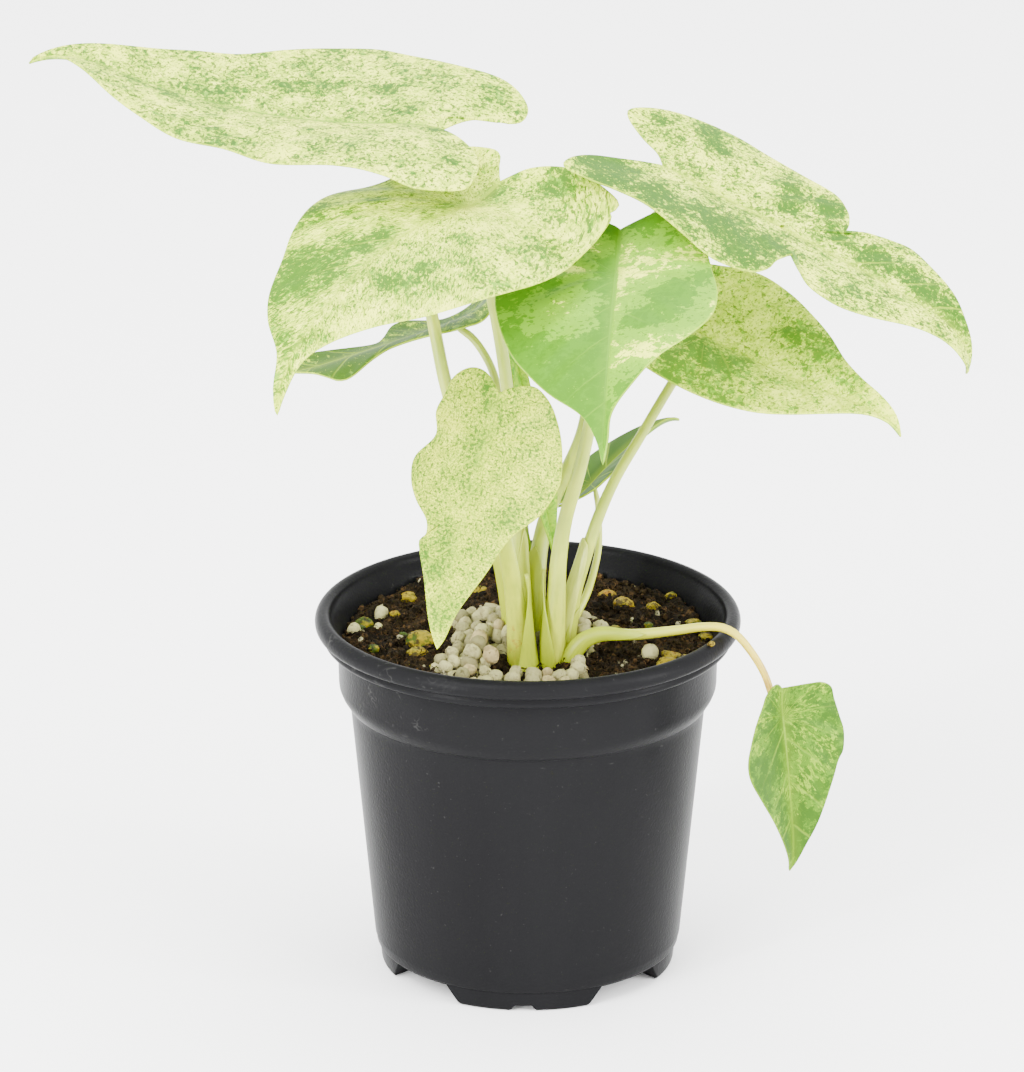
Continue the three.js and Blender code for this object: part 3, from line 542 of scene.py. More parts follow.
leaves = {
    "back_left": dict(
        joint=(-34.6, 25.5, 208.6), heading=166, pitch=-5, droop=33, tipDroop=-57,
        lobePitch=28, roll=-1, twist=0, fold=(10, 12), curl=(-28, -5),
        ripple=0.6, waves=2.5, length=93, lobe=30, halfWidth=37, notch=13.5,
        left=[(85, 2), (77, 9.5), (67, 17.5), (56, 23), (45, 28), (33, 29), (20, 33.5), (5, 32),
            (-8, 34.5), (-18, 37), (-28, 32.5), (-29.5, 26), (-27.5, 17), (-21, 8)],
        right=[(85, 5), (75.5, 11), (68, 16), (57, 23), (46, 27), (36, 34), (26, 39.5), (14, 43.5),
            (4, 41), (-9, 35), (-21, 31), (-28, 24), (-30, 17.5), (-28, 12.5), (-19, 8.3)],
        stalk=[(-2.8, 0, 72), (-3, 0, 84), (-5.6, 0, 105), (-13, 1.2, 128), (-19.7, 3, 148),
            (-23.3, 7, 165), (-27.3, 15.5, 181), (-31.2, 23.5, 196)],
        stalkRadius=(2.6, 1.4), stalkTaper=2,
    ),
    "front_left": dict(
        joint=(-15.5, -6, 196.5), heading=-128, pitch=3, droop=-50, tipDroop=-46,
        lobePitch=-54, roll=-3, twist=2, fold=(3, 4), curl=(-26, -20),
        ripple=0.6, waves=2, length=84, lobe=24, halfWidth=36, notch=15,
        left=[(78, 2), (70, 4), (64, 8), (56, 15), (46, 24), (32, 31), (18, 36), (6, 36.5), (-5, 33.5),
            (-13, 32), (-15.8, 31.6), (-16.6, 30.3), (-17.6, 31), (-20, 30.3), (-22.5, 21.6),
            (-23.3, 13.5), (-20.5, 5)],
        right=[(78, 1.5), (70, 4), (62, 12), (54, 17.5), (42, 22.5), (30, 28.5), (16, 34), (4, 36),
            (-8, 30.5), (-16, 25.5), (-21.5, 17), (-23, 8), (-22.2, 4.2), (-19, 2.6)],
        stalk=[(-1, -5.3, 72), (-1, -5.3, 84), (-2.2, -4.6, 105), (-3.4, -3.4, 130), (-5.1, -2, 150),
            (-8.5, -2.4, 172), (-12, -4, 187)],
        stalkRadius=(2.6, 1.4), stalkTaper=2,
    ),
    "front_centre": dict(
        joint=(21, -20, 184), heading=-94, pitch=-12, droop=-27, tipDroop=-27,
        lobePitch=-20, roll=10, twist=14, fold=(12, 9), curl=(-28, -13),
        ripple=0.4, waves=2, length=63.5, lobe=23.5, halfWidth=27, notch=18.5,
        left=[(58, 1.2), (51, 2), (44, 7), (37, 12.5), (31, 19.5), (24, 24.5), (15, 25.5), (4, 23.5),
            (-8, 21.5), (-17, 20), (-22, 15.5), (-22.5, 9.5), (-20.5, 4.5)],
        right=[(57, 2), (50, 6), (42, 14), (34, 20), (26, 24.5), (14, 28), (2, 29), (-9, 24.5),
            (-18, 20), (-23, 14.5), (-23, 8.5), (-21, 4)],
        stalk=[(6, -11, 72), (6.2, -11, 84), (6.9, -11, 99), (7.5, -11, 109), (9.1, -11.5, 119.6),
            (11.8, -12.5, 130), (14.2, -14, 141), (17.5, -17, 162)],
        stalkRadius=(2.8, 1.45), stalkTaper=2.5,
    ),
    "back_right": dict(
        joint=(45, 12, 195), heading=-22, pitch=-21, droop=-4, tipDroop=-80,
        lobePitch=0, roll=2, twist=4, fold=(12, 11), curl=(-18, -16),
        ripple=0.5, waves=3, length=79.5, lobe=30.5, halfWidth=33, notch=14,
        left=[(74, 2), (68, 5), (62, 10), (55, 15), (47, 19.5), (41.5, 18.6), (37.5, 16.8),
            (34.6, 15.1), (33.1, 12.4), (31.7, 10.9), (31.3, 13.6), (30, 17), (28.2, 20), (22.8, 25.4),
            (14, 28), (4, 30.5), (-6, 32), (-16, 29.5), (-25, 25), (-31, 18.5), (-30.5, 14),
            (-24, 8.5), (-18, 5)],
        right=[(74, 5.5), (67, 10), (60, 14.5), (52, 21), (45.5, 25), (40, 25.8), (35.5, 24.8),
            (32.4, 21.8), (30.3, 18.4), (28.6, 14.8), (26.9, 14.2), (25.9, 17.4), (25.2, 21),
            (25.2, 26), (23, 31), (18, 33.6), (12, 34.5), (2, 31.5), (-8, 28.5), (-16, 28.5),
            (-23, 29.3), (-30, 28.5), (-31, 23), (-28.3, 16.3), (-22, 9.5)],
        stalk=[(2.6, -3.6, 72), (2.5, -3.4, 84), (2, -1, 98), (3.2, 2.5, 109), (5.6, 4.5, 117.5),
            (8.8, 5.5, 124.5), (13.5, 6.5, 136), (17, 9.5, 158), (22, 13, 177), (32, 14.5, 189)],
        stalkRadius=(2.4, 1.4), stalkTaper=2,
    ),
    "right": dict(
        joint=(43.5, 5, 160.5), heading=-27, pitch=-20, droop=13, tipDroop=-53,
        lobePitch=2, roll=14, twist=3, fold=(16, 11), curl=(-8, -16),
        ripple=0.4, waves=2, length=55.5, lobe=22.5, halfWidth=24, notch=9,
        left=[(51, 2.5), (46, 4.5), (40, 7), (33, 11), (26, 16.5), (19, 20.5), (10, 24), (0, 25),
            (-9, 21.5), (-17, 17.5), (-22, 12.5), (-21.5, 7.5), (-16, 4)],
        right=[(51, 1), (45, 3.5), (37, 9), (30, 14.5), (23, 19), (14, 22), (4, 23), (-6, 22),
            (-15, 18.5), (-21.5, 13), (-21.5, 7.5), (-16, 4)],
        stalk=[(8.8, -7, 72), (8.9, -7, 84), (11, -6.8, 97.5), (13.9, -6.3, 107.5), (17.2, -5.5, 118),
            (21.4, -4, 127.5), (27.2, -1.5, 137), (33.8, 1, 148), (39.5, 3.5, 156.5)],
        stalkRadius=(2.5, 1.2), stalkTaper=2.5,
    ),
    "hanging_front": dict(
        joint=(-10, -40, 149), heading=-125, pitch=-63, droop=0, tipDroop=-36,
        lobePitch=0, roll=3, twist=-4, fold=(3, 3), curl=(-23, -20),
        ripple=0, waves=3, length=51, lobe=16.5, halfWidth=22, notch=12,
        left=[(47.5, 2.4), (40.5, 4.9), (30.5, 9.5), (21.3, 13.2), (14.2, 19.1), (7, 21.8), (2.5, 21.6),
            (-4, 19.7), (-9.9, 16.4), (-13.4, 13), (-15.2, 9), (-14, 3.7)],
        right=[(45.3, 2.4), (36.2, 6.3), (28.6, 10.6), (26.3, 11.4), (24.7, 9.9), (21.2, 11.1),
            (17, 16.3), (12.4, 20), (7, 21), (1, 15.8), (-4.7, 17.9), (-9.1, 16.5), (-13.4, 15.2),
            (-16.2, 11.6), (-16.8, 7.5), (-15.4, 3.8)],
        stalk=[(-1.8, -11.5, 72), (-1.8, -11.6, 84), (-3.2, -14, 100), (-5.8, -21, 118),
            (-8.6, -30, 135)],
        stalkRadius=(3.1, 1.3), stalkTaper=1.3,
    ),
    "back": dict(
        joint=(-18, 21, 159.2), heading=200, pitch=-12, droop=0, tipDroop=8,
        lobePitch=-42, roll=31, twist=-29, fold=(4, 3), curl=(-33, 30),
        ripple=0, waves=2, length=42.3, lobe=11, halfWidth=11.8, notch=6,
        left=[(39, 3.5), (36.5, 8), (34.5, 11), (31, 11.5), (24, 8.3), (19, 6.5), (14, 7.3), (9, 9.8),
            (4, 13), (-2, 15), (-8, 14), (-11.5, 9), (-10, 4)],
        right=[(39.5, 5), (36, 7.8), (31, 7.5), (26, 6.2), (20, 4.5), (17, 7), (12.5, 12.8), (7.7, 14),
            (2, 12), (-4, 11), (-9, 10), (-11.5, 7), (-10, 3.5)],
        stalk=[(-0.8, 3.4, 72), (-0.9, 3.6, 84), (-1.8, 7, 105), (-4.5, 12, 125), (-7.6, 16, 144.5),
            (-9, 17, 149), (-11.3, 18.5, 153), (-14.5, 20, 156.8)],
        stalkRadius=(1.7, 1), stalkTaper=2,
    ),
    "small_dark": dict(
        joint=(16.1, 14, 119.8), heading=28, pitch=42, droop=-20, tipDroop=-45,
        lobePitch=-38, roll=-8, twist=-4, fold=(14, 26), curl=(-12, -22),
        ripple=0, waves=2, length=28.5, lobe=12.5, halfWidth=10.5, notch=3,
        left=[(26.5, 0.8), (23, 2.2), (18, 5), (12, 7.5), (6, 9.5), (0, 10.5), (-5, 9.5), (-10.5, 6.5),
            (-12.5, 3)],
        right=[(26.5, 0.8), (23, 2.2), (18, 5), (12, 9.5), (6, 11), (0, 9.5), (-5, 7.5), (-10.5, 4.5),
            (-12.5, 2.5)],
        stalk=[(9.4, -1.8, 72), (9.6, -1.6, 83), (10.6, -0.5, 88), (12.5, 1.5, 91), (14.8, 4.5, 95),
            (16.8, 7, 101.5), (17.6, 9.5, 106), (17.3, 12.8, 114)],
        stalkRadius=(1.4, 0.7), stalkTaper=1.5,
    ),
    "drooping_side": dict(
        joint=(62, -22, 72), heading=-56, pitch=-78, droop=-7, tipDroop=-28,
        lobePitch=-28, roll=-1, twist=0, fold=(22, 25), curl=(-12, -11),
        ripple=0, waves=2, length=39.7, lobe=11.5, halfWidth=16.5, notch=7.5,
        left=[(38, 0.8), (33, 3.3), (27, 7.1), (18, 11.3), (13, 13.4), (10.5, 15), (5.8, 15.6),
            (1.8, 14.8), (-3.2, 13.8), (-6.7, 13), (-8.4, 10.6), (-8.4, 7.5), (-8, 4)],
        right=[(35, 1.8), (25.5, 7.2), (18.5, 12), (12.4, 15.8), (8, 16.3), (3.4, 14.2), (-1.3, 11.2),
            (-5.3, 8.6), (-8.2, 7.2), (-9.8, 4.5), (-9.4, 2)],
        stalk=[(10, -12, 72), (10.2, -12.3, 82), (11.4, -12.5, 85.5), (13.6, -12.6, 88.3),
            (17.3, -13, 90.2), (26, -14.5, 90.7), (36.6, -16.5, 92.6), (42.5, -17.5, 93.8),
            (47.3, -18.3, 93.9), (50.6, -18.9, 92.4), (54.2, -19.4, 88.3), (57.6, -19.6, 82.5),
            (59.8, -20.4, 76.5)],
        stalkRadius=(2.1, 0.9), stalkTaper=2,
    ),
    "young": dict(
        joint=(-3.2, 5.5, 156), heading=-49, pitch=-73, droop=0, tipDroop=0,
        lobePitch=0, roll=0, twist=0, fold=(30, 30), curl=(-16, -16),
        ripple=0, waves=2, length=51, lobe=5, halfWidth=4.6, notch=4,
        left=[(46, 1.2), (40, 2.8), (32, 4.2), (22, 3.8), (12, 2.6), (3, 2.2), (-2, 2), (-4.5, 1.5)],
        right=[(46, 1.2), (40, 2.8), (32, 4.4), (22, 4.8), (12, 4.4), (3, 3.6), (-2, 3), (-4.5, 2)],
        stalk=[(2.2, 0.6, 72), (2, 0.8, 84), (0.2, 4, 100), (-1.5, 7, 118), (-3.5, 8.5, 136),
            (-3.8, 7.8, 148)],
        stalkRadius=(1.3, 0.9), stalkTaper=1.5,
    ),
}

# How each blade is coloured. "green" is how green the whole blade is, "halves" adds to its left and
# right half, and "patches" lists greener places: along the midrib, out to the left, size, strength.
# "wash", "mid", "dark", "grey", "pepper", "dots" and "specks" say how much of each kind of fleck
# shows: 0.5 covers half of the blade where it isn't greener, and 0 about a quarter. "tones" replaces
# colours of the palette.

palette = dict(
    cream=(240, 248, 84), wash=(176, 204, 16), mid=(88, 134, 12), dark=(60, 102, 12), grey=(124, 168, 34),
    rib=(166, 192, 16), margin=(204, 224, 38), under=(96, 138, 50),
)
plainLook = dict(
    slot="cream_blade", green=0.03, halves=(0, 0), wash=0.55, mid=0.0, dark=-0.35, grey=0.25, pepper=0.1,
    veins=0.1, midrib=0.65, dots=-0.5, specks=-0.2, cover=0.7, solid=0.16, greyScale=2.4, greyPull=0.0,
    drawn=False, fineness=1.2, spokes=112, rings=36, patches=[], tones={},
)
looks = {
    "back_left": dict(
        seed=1, green=0.0, halves=(0, 0.05), grey=0.2, pepper=0.15, veins=0.03, midrib=0.95, dots=0.05,
        fineness=1.08,
        patches=[
            (46, -4, 11, 0.4), (30, -17, 5, 0.6), (21, -18, 4, 0.55), (4, -19, 4, 0.75), (-3, -9, 4, 0.75),
            (-14, 4, 3, 0.9), (-22, 22, 4, 0.6), (43, 26, 8, 0.45), (33, 25, 6, 0.45), (73, 3, 5, 0.4),
            (25, -38, 8, 0.45), (4, 21, 8, 0.35), (-22, -22, 5, 0.3), (56, 4, 4, 0.55), (64, 3, 3, 0.5),
            (-6, -25, 7, 0.3),
        ],
        tones=dict(rib=(120, 162, 12), mid=(72, 121, 2), dark=(52, 96, 2), wash=(160, 194, 6)),
    ),
    "front_left": dict(
        seed=2, halves=(0, 0.04), pepper=0.15, veins=0.03, dots=-0.05, drawn=True,
        patches=[
            (45, -14, 12, 0.6), (21, -30, 7, 0.75), (48, -17, 8, 0.6), (59, -13, 6, 0.6), (26, -5, 4, 0.75),
            (32, -6, 4, 0.6), (38, -8, 9, 0.45), (35, 14, 7, 0.7), (42, 9, 4, 0.7), (24, 24, 7, 0.4),
            (5, 26, 5, 0.6), (4, 31, 4, 0.5), (-17, 15, 7, 0.65), (-11, 1, 4, 0.85), (19, 14, 5, 0.45),
            (10, -19, 3, 0.6), (62, 4, 4, 0.4), (68, -4, 5, 0.5), (76, 0, 5, 0.4), (4, -3, 4, 0.3),
        ],
        tones=dict(mid=(90, 138, 6), dark=(62, 105, 6), grey=(124, 170, 26)),
    ),
    "front_centre": dict(
        seed=3, slot="green_blade", green=0.0, halves=(-0.6, 1.0), wash=1.1, mid=0.5, dark=-0.85, grey=1.5,
        veins=0.03, midrib=0.8, solid=0.19, specks=-0.4, dots=-0.3, greyScale=1.5, greyPull=-0.35, cover=1.0,
        fineness=1.0, spokes=90, rings=30,
        patches=[
            (10, -30, 14, -0.3), (14, -11, 10, -1.1), (-3, -10, 4, -1.8), (-12, -5, 4, -1.4),
            (-20, 4, 6, 1.6), (-20, 15, 8, 1.1), (-10, 12, 5, 0.8), (14, 15, 11, 1.6), (23, 7, 7, 1.3),
            (45, 6, 7, 1.2), (42, 13, 5, 0.8), (56, 0, 8, 1.4), (2, 9, 5, -0.5), (33, 9, 5, -0.6),
            (40, -9, 10, 0.8), (6, 24, 5, 0.8), (28, 20, 5, 0.5),
        ],
        tones=dict(
            mid=(76, 128, 5), grey=(118, 168, 16), dark=(68, 118, 5), wash=(122, 172, 10),
            rib=(104, 152, 20), margin=(180, 206, 24),
        ),
    ),
    "back_right": dict(
        seed=4, halves=(0, 0.02), mid=0.1, dark=-0.1, pepper=0.2, veins=0.04, midrib=0.8, dots=0.1, rings=34,
        patches=[
            (-24, -15, 8, 0.95), (-21, -27, 8, 0.7), (-7, -21, 7, 0.9), (8, -18, 9, 0.8), (18, -27, 6, 0.75),
            (22, -15, 5, 0.8), (24, 17, 5, 0.95), (31, 8, 4, 0.75), (42, 7, 5, 0.85), (50, 9, 4, 0.6),
            (58, 6, 5, 0.85), (14, 17, 4, 0.65), (16, 8, 4, 0.65), (-24, 19, 3, 0.65), (-12, 24, 6, 0.55),
            (-6, 19, 3, 0.7), (67, 4, 4, 0.55), (46, -18, 6, 0.35),
        ],
        tones=dict(mid=(82, 128, 3), dark=(54, 97, 4), grey=(102, 148, 8), wash=(172, 204, 10)),
    ),
    "right": dict(
        seed=5, halves=(0, 0.03), dark=-0.3, grey=0.2, veins=0.04, midrib=0.4, dots=-0.1, spokes=84, rings=28,
        patches=[
            (6, -9, 7, 0.95), (1, -21, 6, 0.85), (-4, -14, 5, 0.8), (19, 13, 6, 0.8), (28, 11, 5, 0.7),
            (14, -19, 5, 0.55), (15, -5, 4, 0.4), (-1, -6, 4, 0.55), (36, 6, 4, 0.4),
        ],
        tones=dict(mid=(118, 168, 24), dark=(84, 128, 22), wash=(188, 212, 20)),
    ),
    "hanging_front": dict(
        seed=6, green=-0.03, wash=0.6, mid=-0.35, dark=-0.65, grey=0.1, pepper=0.5, veins=0.03, midrib=0.25,
        dots=0.1, fineness=1.7, spokes=96, rings=28,
        patches=[
            (-12, -3, 3, 0.95), (-8, -2, 2.5, 0.6), (-6, 12, 2, 0.6), (5, -1, 3, 0.4), (33, -4, 4, 0.65),
            (28, -9, 3, 0.85), (26, -4, 3, 0.5), (-10, 16, 2.5, 0.3), (0, 0, 3, 0.5), (18, 10, 4, 0.35),
            (42, 0, 4, 0.5),
        ],
        tones=dict(cream=(208, 216, 44), margin=(186, 200, 20), wash=(156, 176, 10), mid=(92, 136, 10)),
    ),
    "back": dict(
        seed=7, slot="green_blade", green=0.35, halves=(0.1, 0.1), wash=0.8, mid=0.4, dark=0.0, grey=0.5,
        pepper=0.2, spokes=60, rings=20,
        patches=[(32, 6, 7, 0.9), (21, 5, 6, 0.9), (11, 5, 6, 0.4), (-1, -8, 5, 0.6), (28, -4, 8, 0.8)],
        tones=dict(mid=(92, 130, 32), grey=(108, 144, 44), dark=(64, 98, 26)),
    ),
    "small_dark": dict(
        seed=8, slot="green_blade", green=1.0, wash=1.0, mid=1.0, dark=0.5, grey=0.3, specks=-0.8,
        fineness=1.0, spokes=56, rings=18,
        tones=dict(mid=(72, 110, 18), dark=(58, 94, 14), grey=(82, 120, 22)),
    ),
    "drooping_side": dict(
        seed=9, slot="green_blade", green=0.3, wash=0.75, mid=0.4, dark=-0.3, grey=0.5, pepper=0.0,
        veins=0.06, dots=-0.6, specks=-0.35, drawn=True, spokes=70, rings=22,
        patches=[
            (13, -12, 7, 0.7), (5, -4, 6, 0.6), (32, -1, 6, 0.8), (-2, 13, 5, 0.6), (8, 14, 5, 0.5),
            (26, 3, 6, 0.5), (-6, -6, 4, 0.4),
        ],
        tones=dict(
            mid=(56, 95, 2), grey=(78, 120, 2), dark=(47, 84, 3), wash=(99, 139, 3), cream=(164, 187, 12),
            margin=(126, 156, 8), rib=(118, 150, 8),
        ),
    ),
    "young": dict(
        seed=10, slot="young_blade", green=0.2, wash=0.6, mid=0.1, dark=-0.5, grey=0.0, pepper=0.0,
        dots=-1.5, specks=-0.5, fineness=1.0, spokes=40, rings=16,
        tones=dict(
            cream=(168, 192, 2), wash=(126, 172, 1), mid=(84, 144, 1), dark=(72, 130, 1), rib=(120, 166, 1),
            margin=(150, 182, 2), under=(110, 160, 2),
        ),
    ),
}

# How every blade is built, in millimetres and degrees: how far the spokes lean back, the thickness,
# the side veins' angle, arch and spacing, the swelling between them, and the midrib on the underside

bladeBuild = dict(
    lean=0.6, thickness=0.62, veinAngle=50, veinArch=0.011, veinSpacing=11, lobeSpacing=19, quilt=0.22,
    ribHeight=0.9, ribHalfWidth=1.1, sideRibHeight=0.16, sideRibSharpness=7, calmOut=12, calmEdge=0.75,
    lastRing=0.965, edgeShares=(0.985, 0.996, 1.0), edgeThickness=(0.95, 0.7, 0.2), spokeAim=0.88,
    spineStart=0.3, fullLength=60, halfShift=31.0,
)


def outlineSide(leaf, side, spokes):
    # Even steps along the outline from the tip to the notch, as (along the midrib, out from it)
    ends = [(leaf["length"], 0), *leaf[side], (-leaf["notch"], 0)]
    return smoothLine(ends, spokes, power=0, repeatEnds=True)


def slopeAlong(leaf, u):
    # The climb at the place u along the midrib, in radians
    share = u / leaf["length"]
    bend = np.maximum(0, (share - 0.7) / 0.3) ** 2
    ahead = leaf["pitch"] + leaf["droop"] * share + leaf["tipDroop"] * bend
    behind = leaf["pitch"] - leaf["lobePitch"] * u / leaf["lobe"]
    return np.radians(np.where(u < 0, behind, ahead))


def midrib(leaf, u):
    # How far forward and up the midrib has come at u: the sums of its slope's cosine and sine
    stations = np.linspace(-1.4 * leaf["lobe"], 1.1 * leaf["length"], 1200)
    slope = slopeAlong(leaf, stations)
    step = stations[1] - stations[0]
    come = []
    for part in (np.cos(slope), np.sin(slope)):
        total = np.concatenate([[0], np.cumsum((part[1:] + part[:-1]) / 2 * step)])
        come.append(np.interp(u, stations, total - np.interp(0, stations, total)))
    return *come, slopeAlong(leaf, u)


def bladePoints(leaf, u, v, edgeward, around):
    # The midrib curve, then out along an arc that leaves at "fold" and turns by "curl", rolled
    # about the midrib, with a ripple that grows towards the edge
    along, height, slope = midrib(leaf, u)
    half = np.where(v >= 0, 0, 1)
    start = np.radians(np.array(leaf["fold"], float))[half]
    rate = np.radians(np.array(leaf["curl"], float))[half] / leaf["halfWidth"]
    distance = np.abs(v)
    out = (np.sin(start + rate * distance) - np.sin(start)) / rate
    up = -(np.cos(start + rate * distance) - np.cos(start)) / rate
    up = up + leaf["ripple"] * edgeward**2 * np.sin(2 * math.pi * leaf["waves"] * around + 1.5 * half)
    turn = np.radians(leaf["roll"] + leaf["twist"] * np.maximum(u, 0) / leaf["length"])[..., None]
    heading = math.radians(leaf["heading"])
    forward = np.array([math.cos(heading), math.sin(heading), 0])
    leftward = np.array([-math.sin(heading), math.cos(heading), 0])
    upward = np.array([0, 0, 1])
    normal = upward * np.cos(slope)[..., None] - forward * np.sin(slope)[..., None]
    side = leftward * np.cos(turn) + normal * np.sin(turn)
    normal = normal * np.cos(turn) - leftward * np.sin(turn)
    sideways = np.where(half == 0, out, -out)[..., None]
    middle = np.array(leaf["joint"]) + forward * along[..., None] + upward * height[..., None]
    return middle + side * sideways + normal * up[..., None]


def veinPlace(u, v):
    # Which side vein a spot lies on, counted from the joint, and how far along it the spot is.
    # Ahead of the joint the veins leave the midrib at an angle and arch forwards; behind it they
    # fan out from the joint.
    b = bladeBuild
    out = np.abs(v)
    ahead = u - b["veinArch"] * out**2
    angle = math.radians(b["veinAngle"])
    start = ahead - 1 / math.tan(angle) * out
    fan = np.arctan2(out, ahead) - angle
    count = np.where(start >= 0, start / b["veinSpacing"], -fan * b["lobeSpacing"] / b["veinSpacing"])
    reach = np.where(start >= 0, out / math.sin(angle), np.hypot(out, ahead))
    return count, reach


def variegatedMaterial(name, look):
    # Layers of jagged flecks drawn out along the side veins, over cream. Each layer shows where its
    # own noise, raised by the blade's greenness there, passes a level.
    skin = Skin(name + "Skin")
    tones = {tone: paint(*colour) for tone, colour in {**palette, **look["tones"]}.items()}
    run, plan = skin.map("veinRun"), skin.map("bladePlan")
    greenness, edgeward, under = (skin.attribute(kind) for kind in ("greenness", "edgeward", "under"))
    clusters = skin.times(skin.noise(plan, 1.3, 2.0, 0.5), 0.3)

    def layer(place, scale, amount, pull, shift, detail=5.0, roughness=0.74, softness=0.012):
        # The level lies 0.2 lower for each 1 of the amount, round the noise's middle of 0.65
        moved = skin.stretched(place, (1, 0.8, 1), (look["seed"] * 3.1 + shift, shift, 0))
        value = skin.plus(skin.noise(moved, scale * look["fineness"], detail, roughness, 0.3), clusters)
        value = skin.plus(value, skin.times(greenness, pull))
        level = 0.65 + 0.2 * (0.5 - amount)
        return skin.rise(value, level - softness, level + softness)

    flecked = run if look["drawn"] else plan
    mid = layer(flecked, 4.6, look["mid"], look["solid"], 7.0)
    grey = layer(plan, look["greyScale"], look["grey"], look["greyPull"], 19.0)
    coats = [
        # where it shows, its tone, how strongly
        (layer(plan, 1.6, look["wash"], 0.2, 37.0, 3.0, 0.5, 0.09), "wash", 0.3),
        (skin.noise(plan, 0.9, 3.0, 0.5), "margin", 0.3),
        (layer(flecked, 4.5, look["wash"] - 0.1, 0.2, 0.0, 5.0, 0.7, 0.02), "wash", look["cover"]),
        (layer(flecked, 13.0, look["pepper"], 0.1, 41.0, 2.0, 0.5, 0.02), "mid", 0.7),
        (mid, "mid", None),
        (skin.times(mid, grey), "grey", 0.8),
        (layer(flecked, 8.0, look["dots"], 0.12, 29.0, 2.0, 0.5, 0.015), "dark", 0.85),
        (layer(plan, 3.6, look["dark"], 0.24, 13.0), "dark", 0.92),
        (layer(flecked, 9.0, look["specks"], 0.0, 53.0, 4.0, 0.6), "wash", 0.6),
    ]
    colour = tones["cream"]
    for shown, tone, amount in coats:
        colour = skin.over(colour, shown, tones[tone], amount)

    vein, reach, _ = skin.parts(run)
    along, out, _ = skin.parts(plan)
    fromMidrib = skin.sums("ABSOLUTE", out)
    wobble = skin.times(skin.noise(plan, 2.0, 2.0), 0.12)
    phase = skin.plus(skin.sums("DIVIDE", vein, bladeBuild["veinSpacing"] / 10), wobble)
    sideVein = skin.fall(skin.fromMiddle(skin.sums("FRACT", phase)), 0.012, 0.055)
    strength = skin.plus(look["veins"], skin.times(skin.fall(reach, 0.2, 1.6), 0.5))
    halo = skin.minus(0.45, skin.times(skin.rise(fromMidrib, 0.0, 0.32), 0.45))
    centre = skin.sums("MAXIMUM", skin.fall(fromMidrib, 0.03, 0.085), halo)
    fading = skin.minus(1.0, skin.times(skin.rise(along, 1.0, 7.0), 0.6))
    fading = skin.times(fading, look["midrib"])
    veins = skin.sums("MAXIMUM", skin.times(sideVein, strength), skin.times(centre, fading))
    colour = skin.over(colour, veins, tones["rib"])
    colour = skin.over(colour, skin.rise(edgeward, 0.985, 0.998), tones["margin"], 0.45)
    colour = skin.over(colour, under, tones["under"], 0.45)
    grain = skin.noise(skin.stretched(run, (1, 0.5, 1)), 26.0, 3.0)
    bump = skin.bump(skin.minus(skin.times(grain, 0.25), veins), 0.45, 0.0004)
    return skin.surface(colour, skin.between(grain, 0.42, 0.56), bump, 0.14, glow=0.22)


def spokeStarts(outline):
    # Where on the midrib the spoke to each outline point starts: ahead of the joint it leans
    # back from that point, and it never lies nearer the tip than the one before
    starts = bladeBuild["spokeAim"] * outline[:, 0] - bladeBuild["lean"] * np.abs(outline[:, 1])
    return np.minimum.accumulate(np.clip(starts, 0, None))


def halfAwareCorners(faceSets, run):
    # On the midrib a point belongs to both halves, so each face takes the shift of its own half
    corners = []
    halfShift = bladeBuild["halfShift"]
    for faces in faceSets:
        spots = run[faces]
        onRight = (spots[:, :, 0].max(axis=1) > halfShift / 2)[:, None]
        own = np.where(onRight & (spots[:, :, 0] < halfShift / 2), spots[:, :, 0] + halfShift, spots[:, :, 0])
        corners.append(np.stack([own, spots[:, :, 1]], axis=-1).reshape(-1, 2))
    return np.concatenate(corners)


